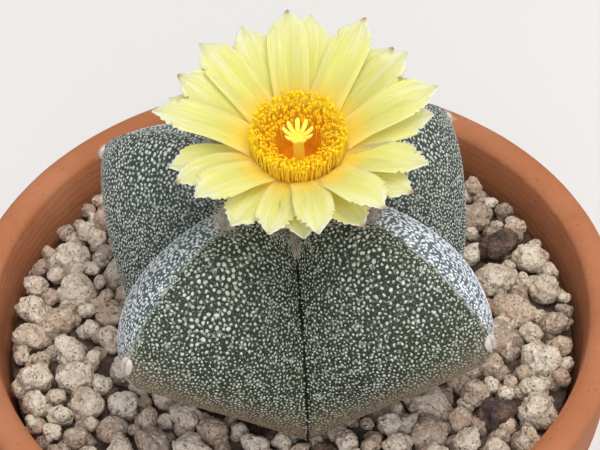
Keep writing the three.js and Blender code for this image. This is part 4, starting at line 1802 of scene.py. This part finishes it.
@dataclass
class Petals:
    """Three overlapping rows of petals."""

    seat: FlowerSeat
    places: tuple[tuple[float, int], ...] = (
        (2, 1), (11, 2), (25, 0), (37, 1), (46, 0), (60, 2), (81, 1), (95, 2), (112, 1), (132, 2), (151, 1),
        (160, 0), (172, 2), (195, 0), (206, 1), (221, 2), (238, 0), (256, 1), (270, 0), (278, 2), (297, 0),
        (306, 2), (325, 0), (337, 1),
    )
    collar: tuple[tuple[float, float], ...] = (
        (9.3, 0.5), (11.4, 0.4), (11.9, 1.0), (11.6, 1.7), (10.8, 1.6), (9.3, 0.9),
    )
    root: float = 10.4
    reach: float = 30.0
    width: float = 8.5
    thickness: float = 0.28
    layer_step: float = 0.9
    along: int = 50
    across: int = 12
    teeth: float = 15.0
    stained_share: float = 0.45
    place_seed: int = 73
    look_seed: int = 900

    def half_width(self, u: np.ndarray) -> np.ndarray:
        """Gives half the blade's width at shares of its length."""
        swell, taper = 0.86 + 0.14 * smooth(u / 0.5), 1 - 0.96 * smooth((u - 0.66) / 0.36) ** 1.7
        return self.width / 2 * swell * taper

    def blade(
        self, angle: float, layer: int, draw: Callable[[], float], seed: int
    ) -> tuple[bpy.types.Mesh, dict[str, np.ndarray]]:
        """Shapes one petal.

        Args:
            angle: Its bearing in degrees.
            layer: Its row: 0 is the outermost.
            draw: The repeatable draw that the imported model's petals used.
            seed: Number that sets the small differences that are only in the looks.

        Returns:
            The petal, and the values that its vertices store.
        """
        rng = np.random.default_rng(self.look_seed + seed)
        turn = math.radians(angle)
        reach = self.reach + math.sin(turn) - 0.6 * (2 - layer) + 1.2 * (draw() - 0.5)
        length = reach - self.root
        rise = math.tan(math.radians(24 + 4 * layer + 5 * (draw() - 0.5)))
        fall = math.tan(math.radians(12 + 6 * (draw() - 0.5)))
        width = 0.92 + 0.14 * draw()
        low = 0.75 + self.layer_step * layer
        bm = bmesh.new()
        bmesh.ops.create_grid(bm, x_segments=self.along, y_segments=self.across, size=1.0)
        mesh = as_mesh(bm, "petal")
        grid = positions(mesh)
        t, v = (grid[:, 0] + 1) / 2, grid[:, 1]
        u = (1 - (1 - t) ** 1.55) * 1.03 - 0.03
        phase = rng.uniform(0, 100)
        count = u * self.teeth + phase + 0.4 * np.sign(v)
        tooth = np.floor(count).astype(int) % 20 + np.where(v > 0, 20, 0)
        depth = rng.uniform(0.03, 0.5, 40)[tooth]
        before_point = 1 - smooth((u - 0.97) / 0.03)
        toothed = smooth((u - 0.6) / 0.2) * before_point
        jag = 1 - depth * (1 - count % 1.0) ** 1.4 * toothed * np.abs(v) ** 2
        half = self.half_width(u) * width * jag + 0.12 * before_point
        bow = rng.uniform(-1.3, 1.3)
        twist = rng.uniform(-0.16, 0.16)
        cup = rng.uniform(0.3, 1.3)
        rise_line = rise * u + (fall - rise) * u * u / 2
        wave = 0.16 * np.sin(u * rng.uniform(7, 11) + phase) * v * np.abs(v) * smooth(u / 0.4)
        curl = rng.uniform(-0.9, 0.5) * smooth((u - 0.78) / 0.22)
        keel = 0.26 * hump(v, 0.16) * (1 - smooth((u - 0.7) / 0.3))
        pleat = 0.06 * np.cos(v * rng.uniform(7, 10) + phase)
        pleat *= smooth(u / 0.15) * (1 - smooth((u - 0.85) / 0.15))
        ribs = 0.018 * np.cos(v * 19 + phase) * smooth(u / 0.2) * (1 - smooth((u - 0.75) / 0.2))
        x = self.root + length * u
        y = half * v + bow * u * u
        hollow = cup * v * v * np.sin(math.pi * u)
        z = low + 0.18 + length * rise_line + hollow + wave + curl - keel + ribs + pleat
        z += twist * half * v * smooth(u / 0.5)
        cos, sin = math.cos(turn), math.sin(turn)
        points = np.stack([x * cos - y * sin, x * sin + y * cos, z], axis=1)
        mesh.vertices.foreach_set("co", points.astype(np.float32).ravel())
        mesh.update()
        give_values(mesh, "along", u)
        give_values(mesh, "across", v)
        thick = bmesh.new()
        thick.from_mesh(mesh)
        bmesh.ops.solidify(thick, geom=thick.faces[:], thickness=self.thickness)
        mesh = as_mesh(thick, "petal")
        stain = 1.0 if rng.uniform() < self.stained_share else 0.15
        values = {name: read_values(mesh, name)[None] for name in ("along", "across")}
        values["stain"] = np.full((1, len(mesh.vertices)), stain)
        values["number"] = np.full((1, len(mesh.vertices)), seed * 3.7)
        return mesh, values

    def build(self) -> None:
        """Builds all the petals as one piece."""
        draw = make_draw(self.place_seed)
        stamps = Stamps()
        collar = as_own_mesh(turned(list(self.collar), 72, True), "collar")
        zeros = np.zeros((1, len(collar.vertices)))
        stamps.add(collar, STILL, along=zeros, across=zeros, stain=zeros, number=zeros)
        for number, (angle, layer) in enumerate(self.places):
            mesh, values = self.blade(angle, layer, draw, number)
            stamps.add(mesh, STILL, **values)
        petals = self.seat.settle(stamps.mesh("petal_rows"))
        place_piece(petals, "petal_rows", Node.PETALS, PetalFinish().build())


@dataclass
class Stamens:
    """A dense ring of stamens round the pistil."""

    seat: FlowerSeat
    well: float = 5.1
    ring: float = 10.1
    rim: float = 7.5
    inner_height: float = 3.7
    inner: int = 440
    skirt: int = 140
    skirt_foot: float = 9.6
    core: tuple[tuple[float, float], ...] = (
        (1.1, -5.6), (5.9, -5.55), (7.9, -1.2), (8.9, 0.3), (9.2, 3.0), (9.2, 4.4), (8.2, 4.4), (6.5, 2.7),
        (5.2, 1.2), (4.8, -3.2), (3.6, -4.0), (1.1, -4.2),
    )
    core_steps: int = 72
    thread_kinds: int = 5
    anther_kinds: int = 6
    seed: int = 5
    line_seed: int = 31

    def thread(self, seed: int) -> bpy.types.Mesh:
        """Makes one bent filament of length 1.

        Args:
            seed: Number that sets its bend.

        Returns:
            The filament.
        """
        rng = np.random.default_rng(seed)
        bm = strand(5, 0.02, 0.015, 5)
        sway = rng.uniform(0.02, 0.09)
        for vert in bm.verts:
            vert.co.x += sway * math.sin(math.pi * vert.co.z)
        return as_mesh(bm, f"thread_{seed}")

    def anther(self, seed: int) -> bpy.types.Mesh:
        """Makes one two-lobed anther of half length 1.

        Args:
            seed: Number that sets its grain.

        Returns:
            The anther.
        """
        rng = np.random.default_rng(seed)
        bm = bmesh.new()
        bmesh.ops.create_icosphere(bm, subdivisions=2, radius=1.0)
        offset = Vector(rng.uniform(-20, 20, 3))
        for vert in bm.verts:
            way = vert.co.copy()
            groove = 0.28 * math.exp(-((way.y / 0.25) ** 2)) * abs(way.x)
            reach = 1 + 0.1 * noise.noise(way * 2.5 + offset) + 0.05 * noise.noise(way * 8 + offset)
            vert.co = Vector((way.x * 0.62 * (1 - groove), way.y * 0.72, way.z)) * reach
        return as_mesh(bm, f"anther_{seed}")

    def lay_out(self, rng: np.random.Generator) -> tuple[np.ndarray, np.ndarray, np.ndarray]:
        """Places the stamens: a dense ring round the pistil, then a skirt of steeper ones outside it.

        Args:
            rng: Source of the draws.

        Returns:
            Feet and tips as rows, and the bearing of each tip.
        """
        share = (np.arange(self.inner) + 0.5) / self.inner
        radii = np.sqrt(self.well ** 2 + (self.ring ** 2 - self.well ** 2) * share)
        angles = np.arange(self.inner) * math.pi * (3 - math.sqrt(5)) + rng.normal(0, 0.04, self.inner)
        radii += rng.normal(0, 0.15, self.inner)
        inwards = smooth((self.ring - radii) / (self.ring - self.well))
        bowl = self.rim - (self.rim - self.inner_height) * inwards
        tips = polar(radii, angles, bowl + rng.normal(0, 0.5, self.inner))
        feet = polar(np.clip(radii * 0.94, 4.9, 9.3), angles, np.where(radii < 6.6, -4.0, 0.3))
        turn = rng.uniform(0, TURN, self.skirt)
        low = polar(self.skirt_foot, turn, rng.uniform(0.6, 1.1, self.skirt))
        lean = turn + rng.normal(0, 0.05, self.skirt)
        flare = rng.uniform(9.7, 10.3, self.skirt)
        high = polar(flare, lean, rng.uniform(5.9, 7.7, self.skirt))
        return np.concatenate([feet, low]), np.concatenate([tips, high]), np.concatenate([angles, lean])

    def add_core(self, stamps: Stamps) -> None:
        """Adds the dense mass between the filaments, darker on its outer wall and in lines down its inner
        wall as painted shade among the filaments.

        Args:
            stamps: The mesh that is being gathered.
        """
        core = as_own_mesh(turned(list(self.core), self.core_steps, True), "stamen_core")
        at = positions(core)
        radius = np.hypot(at[:, 0], at[:, 1])
        outside = smooth((radius - 7.0) / 1.4)
        turn = np.round(np.arctan2(at[:, 1], at[:, 0]) / TURN * self.core_steps).astype(int)
        lines = np.random.default_rng(self.line_seed).uniform(0, 0.75, self.core_steps)
        # Painted shade: darker outside, among the filaments, and in lines down the inner wall.
        deep = outside * 0.8 + lines[turn % self.core_steps] * (1 - outside)
        stamps.add(core, STILL, along=smooth((radius - 5.2) / 3.5)[None] * 0.6, deep=deep[None])

    def filaments(
        self, effects: SharedEffects, feet: np.ndarray, tips: np.ndarray, rng: np.random.Generator
    ) -> None:
        """Builds the filaments and the mass between them.

        Args:
            effects: The shared node groups.
            feet: Foot of each filament, as rows.
            tips: Tip of each filament, as rows.
            rng: Source of the draws.
        """
        stamps = Stamps()
        self.add_core(stamps)
        kinds = rng.integers(0, self.thread_kinds, len(feet))
        yellowness = smooth((np.hypot(feet[:, 0], feet[:, 1]) - 5.0) / 4.4) * 0.9
        ways = tips - feet
        placing = frames(feet, ways, rng.uniform(0, TURN, len(feet)), np.linalg.norm(ways, axis=1))
        for kind in range(self.thread_kinds):
            template = self.thread(kind)
            rise = np.clip(positions(template)[:, 2], 0, 1)
            chosen = kinds == kind
            low_end = yellowness[chosen][:, None]
            along = low_end + (0.96 - low_end) * rise[None]
            stamps.add(template, placing[chosen], along=along, deep=np.zeros_like(along))
        colours = srgb(238, 138, 10), srgb(253, 226, 70), srgb(250, 196, 34)
        finish = PollenFinish("filament", *colours, painted_glow=0.12).build(effects)
        piece = self.seat.settle(stamps.mesh("filaments"))
        place_piece(piece, "filaments", Node.STAMENS, finish)

    def anthers(
        self, effects: SharedEffects, tips: np.ndarray, angles: np.ndarray, rng: np.random.Generator
    ) -> None:
        """Builds the anthers.

        Args:
            effects: The shared node groups.
            tips: Tip of each filament, as rows.
            angles: Bearing of each tip in radians.
            rng: Source of the draws.
        """
        count = len(tips)
        kinds = rng.integers(0, self.anther_kinds, count)
        lean = polar(0.3, angles, np.ones(count)) + rng.normal(size=(count, 3)) * 0.5
        size = rng.uniform(0.42, 0.62, count)
        placing = frames(tips, lean, rng.uniform(0, TURN, count), size)
        tones = rng.uniform(0.2, 1.0, count)
        tones *= 0.4 + 0.6 * smooth((np.hypot(tips[:, 0], tips[:, 1]) - 5.5) / 3.5)
        stamps = Stamps()
        heads = [self.anther(kind) for kind in range(self.anther_kinds)]
        stamps.add_kinds(heads, kinds, placing, along=tones)
        colours = srgb(246, 168, 6), srgb(252, 218, 24), srgb(254, 226, 60)
        finish = PollenFinish("anther", *colours, painted_glow=0.1).build(effects)
        piece = self.seat.settle(stamps.mesh("anthers"))
        place_piece(piece, "anthers", Node.STAMENS, finish)

    def build(self, effects: SharedEffects) -> None:
        """Builds filaments, anthers and the dense mass between them.

        Args:
            effects: The shared node groups.
        """
        rng = np.random.default_rng(self.seed)
        feet, tips, angles = self.lay_out(rng)
        self.filaments(effects, feet, tips, rng)
        self.anthers(effects, tips, angles, rng)


@dataclass
class Pistil:
    """The style and its star of stigma lobes."""

    seat: FlowerSeat
    style_radius: float = 1.2
    foot: float = -6.2
    stigma_height: float = 4.7
    lobes: int = 9
    reach: float = 3.3
    seating: float = 0.1

    def lobe(self, seed: int) -> bpy.types.Mesh:
        """Makes one velvety lobe of length 1 along X, rising a little towards its end.

        Args:
            seed: Number that sets its small differences.

        Returns:
            The lobe.
        """
        rng = np.random.default_rng(seed)
        bm = bmesh.new()
        bmesh.ops.create_uvsphere(bm, u_segments=24, v_segments=28, radius=1.0)
        bmesh.ops.rotate(bm, matrix=Matrix.Rotation(math.radians(90), 3, "Y"), verts=bm.verts)
        rise, sway = rng.uniform(0.72, 0.92), rng.uniform(-0.06, 0.06)
        for vert in bm.verts:
            way = vert.co.copy()
            share = (way.x + 1) / 2
            blunt = (1 - min(abs(way.x), 0.999) ** 3.5) ** (1 / 3.5) / max(math.hypot(way.y, way.z), 0.04)
            grain = 1 + 0.12 * noise.noise(way * 6 + Vector((seed, 0, 0)))
            fat = min(blunt, 2.2) * (0.8 + 0.35 * share) * grain
            vert.co.x = 0.2 + 0.8 * share
            vert.co.y = way.y * 0.16 * fat + sway * share * share
            vert.co.z = way.z * 0.15 * fat + rise * (0.6 * share + 0.4 * share * share)
        return as_mesh(bm, f"lobe_{seed}")

    def build(self, effects: SharedEffects) -> None:
        """Builds the style and its lobes as one piece.

        Args:
            effects: The shared node groups.
        """
        top = self.stigma_height
        r = self.style_radius
        outline = [(0, self.foot), (r, self.foot), (r, -2), (r * 0.94, 2), (r, top - 1)]
        outline += bend((r, top - 1), (r * 1.3, top), (r * 1.35, top + 0.7))
        outline += [(r * 0.5, top + 0.3), (0, top + 0.25)]
        bm = turned(outline, 40, False)
        bmesh.ops.subdivide_edges(bm, edges=[e for e in bm.edges if e.calc_length() > 2 * MM], cuts=6)
        for vert in bm.verts:
            way = math.atan2(vert.co.y, vert.co.x)
            groove = 1 + 0.05 * math.cos(way * self.lobes)
            vert.co.x *= groove
            vert.co.y *= groove
        style = as_own_mesh(bm, "style")
        stamps = Stamps()
        rise = smooth((positions(style)[:, 2] - self.foot) / (top - self.foot))
        stamps.add(style, STILL, along=rise[None] * 0.35)
        for number in range(self.lobes):
            turn = TURN * (number + 0.3) / self.lobes
            cos, sin = math.cos(turn), math.sin(turn)
            place = STILL.copy()
            place[0, :3, :3] = np.array([[cos, -sin, 0], [sin, cos, 0], [0, 0, 1]]) * self.reach
            place[0, 2, 3] = top - self.seating
            mesh = self.lobe(number)
            stamps.add(mesh, place, along=np.clip(0.4 + positions(mesh)[:, 0] * 0.6, 0, 1)[None])
        pistil = self.seat.settle(stamps.mesh("pistil_star"))
        colours = srgb(252, 214, 8), srgb(248, 234, 116), srgb(250, 228, 80)
        finish = PollenFinish("pistil", *colours, painted_glow=0.22).build(effects)
        place_piece(pistil, "pistil_star", Node.PISTIL, finish)


# ---- stage ----


@dataclass(frozen=True)
class Lamp:
    """A soft square lamp that faces the plant. Its power is in watts, its place and size in metres."""

    name: str
    place: tuple[float, float, float]
    power: float
    size: float
    colour: Colour
    aim: tuple[float, float, float] = (0, 0, 0.1)

    def build(self) -> None:
        """Puts the lamp in the scene."""
        data = bpy.data.lights.new(self.name, "AREA")
        data.energy = self.power
        data.size = self.size
        data.color = self.colour[:3]
        lamp = add_object(self.name, data)
        lamp.location = self.place
        way = Vector(self.aim) - Vector(self.place)
        lamp.rotation_euler = way.to_track_quat("-Z", "Y").to_euler()


@dataclass(frozen=True)
class Stage:
    """Plain pale floor, soft light and the camera."""

    floor_colour: Colour = srgb(226, 222, 216)
    floor_size: float = 3.0
    sky: Colour = srgb(226, 234, 246)
    sky_strength: float = 0.75
    lamps: tuple[Lamp, ...] = (
        Lamp("key", (0.3, 0.03, 1.35), 10.6, 0.8, srgb(255, 249, 240)),
        Lamp("fill", (0.0, -1.1, 0.9), 7.0, 1.0, srgb(244, 247, 255)),
    )
    target: tuple[float, float, float] = (0.00282, 0.0238, 0.095)
    elevation: float = 45.44
    roll: float = -2.06
    distance: float = 0.6
    lens: float = 153.54
    sensor: float = 36.0

    def floor(self) -> None:
        """Builds the floor under the pot."""
        bm = bmesh.new()
        bmesh.ops.create_grid(bm, x_segments=1, y_segments=1, size=self.floor_size)
        mesh = as_mesh(bm, "floor")
        material, graph, shader = new_material("floor", Roughness=0.9)
        grain = graph.noise(graph.place(), 900.0, 2.0)
        graph.feed(shader, {"Base Color": self.floor_colour, "Normal": graph.bump(grain, 0.00005)})
        mesh.materials.append(material)
        floor = add_object("floor", mesh)

    def light(self) -> None:
        """Sets the even light of the room and the lamps."""
        world = bpy.data.worlds.new("studio")
        world.use_nodes = True
        background = world.node_tree.nodes["Background"]
        background.inputs["Color"].default_value = self.sky
        background.inputs["Strength"].default_value = self.sky_strength
        bpy.context.scene.world = world
        bpy.context.scene.view_settings.view_transform = "Standard"
        for lamp in self.lamps:
            lamp.build()

    def camera(self) -> None:
        """Puts the camera in front of the pot, looking down at the plant."""
        data = bpy.data.cameras.new("camera")
        data.lens = self.lens
        data.sensor_width = self.sensor
        camera = add_object("camera", data)
        rise = math.radians(self.elevation)
        back = Vector((0, -math.cos(rise), math.sin(rise)))
        tip = Matrix.Rotation(math.radians(90 - self.elevation), 4, "X")
        roll = Matrix.Rotation(math.radians(self.roll), 4, "Z")
        camera.matrix_world = Matrix.Translation(Vector(self.target) + back * self.distance) @ tip @ roll
        bpy.context.scene.camera = camera

    def build(self) -> None:
        """Builds the floor, the light and the camera."""
        self.floor()
        self.light()
        self.camera()


def main() -> None:
    """Builds every piece in order."""
    logging.basicConfig(level=logging.INFO, format="%(name)s %(message)s", force=True)
    effects = SharedEffects.build()
    dress_soil(effects)
    ClayPot().build(effects)
    form = PlantForm()
    Dressing(form).build(effects)
    Plant(form).build(effects)
    seat = FlowerSeat()
    FlowerTube(seat).build(effects)
    Petals(seat).build()
    Stamens(seat).build(effects)
    Pistil(seat).build(effects)
    Stage().build()
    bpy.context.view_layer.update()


if __name__ == "__main__":
    main()
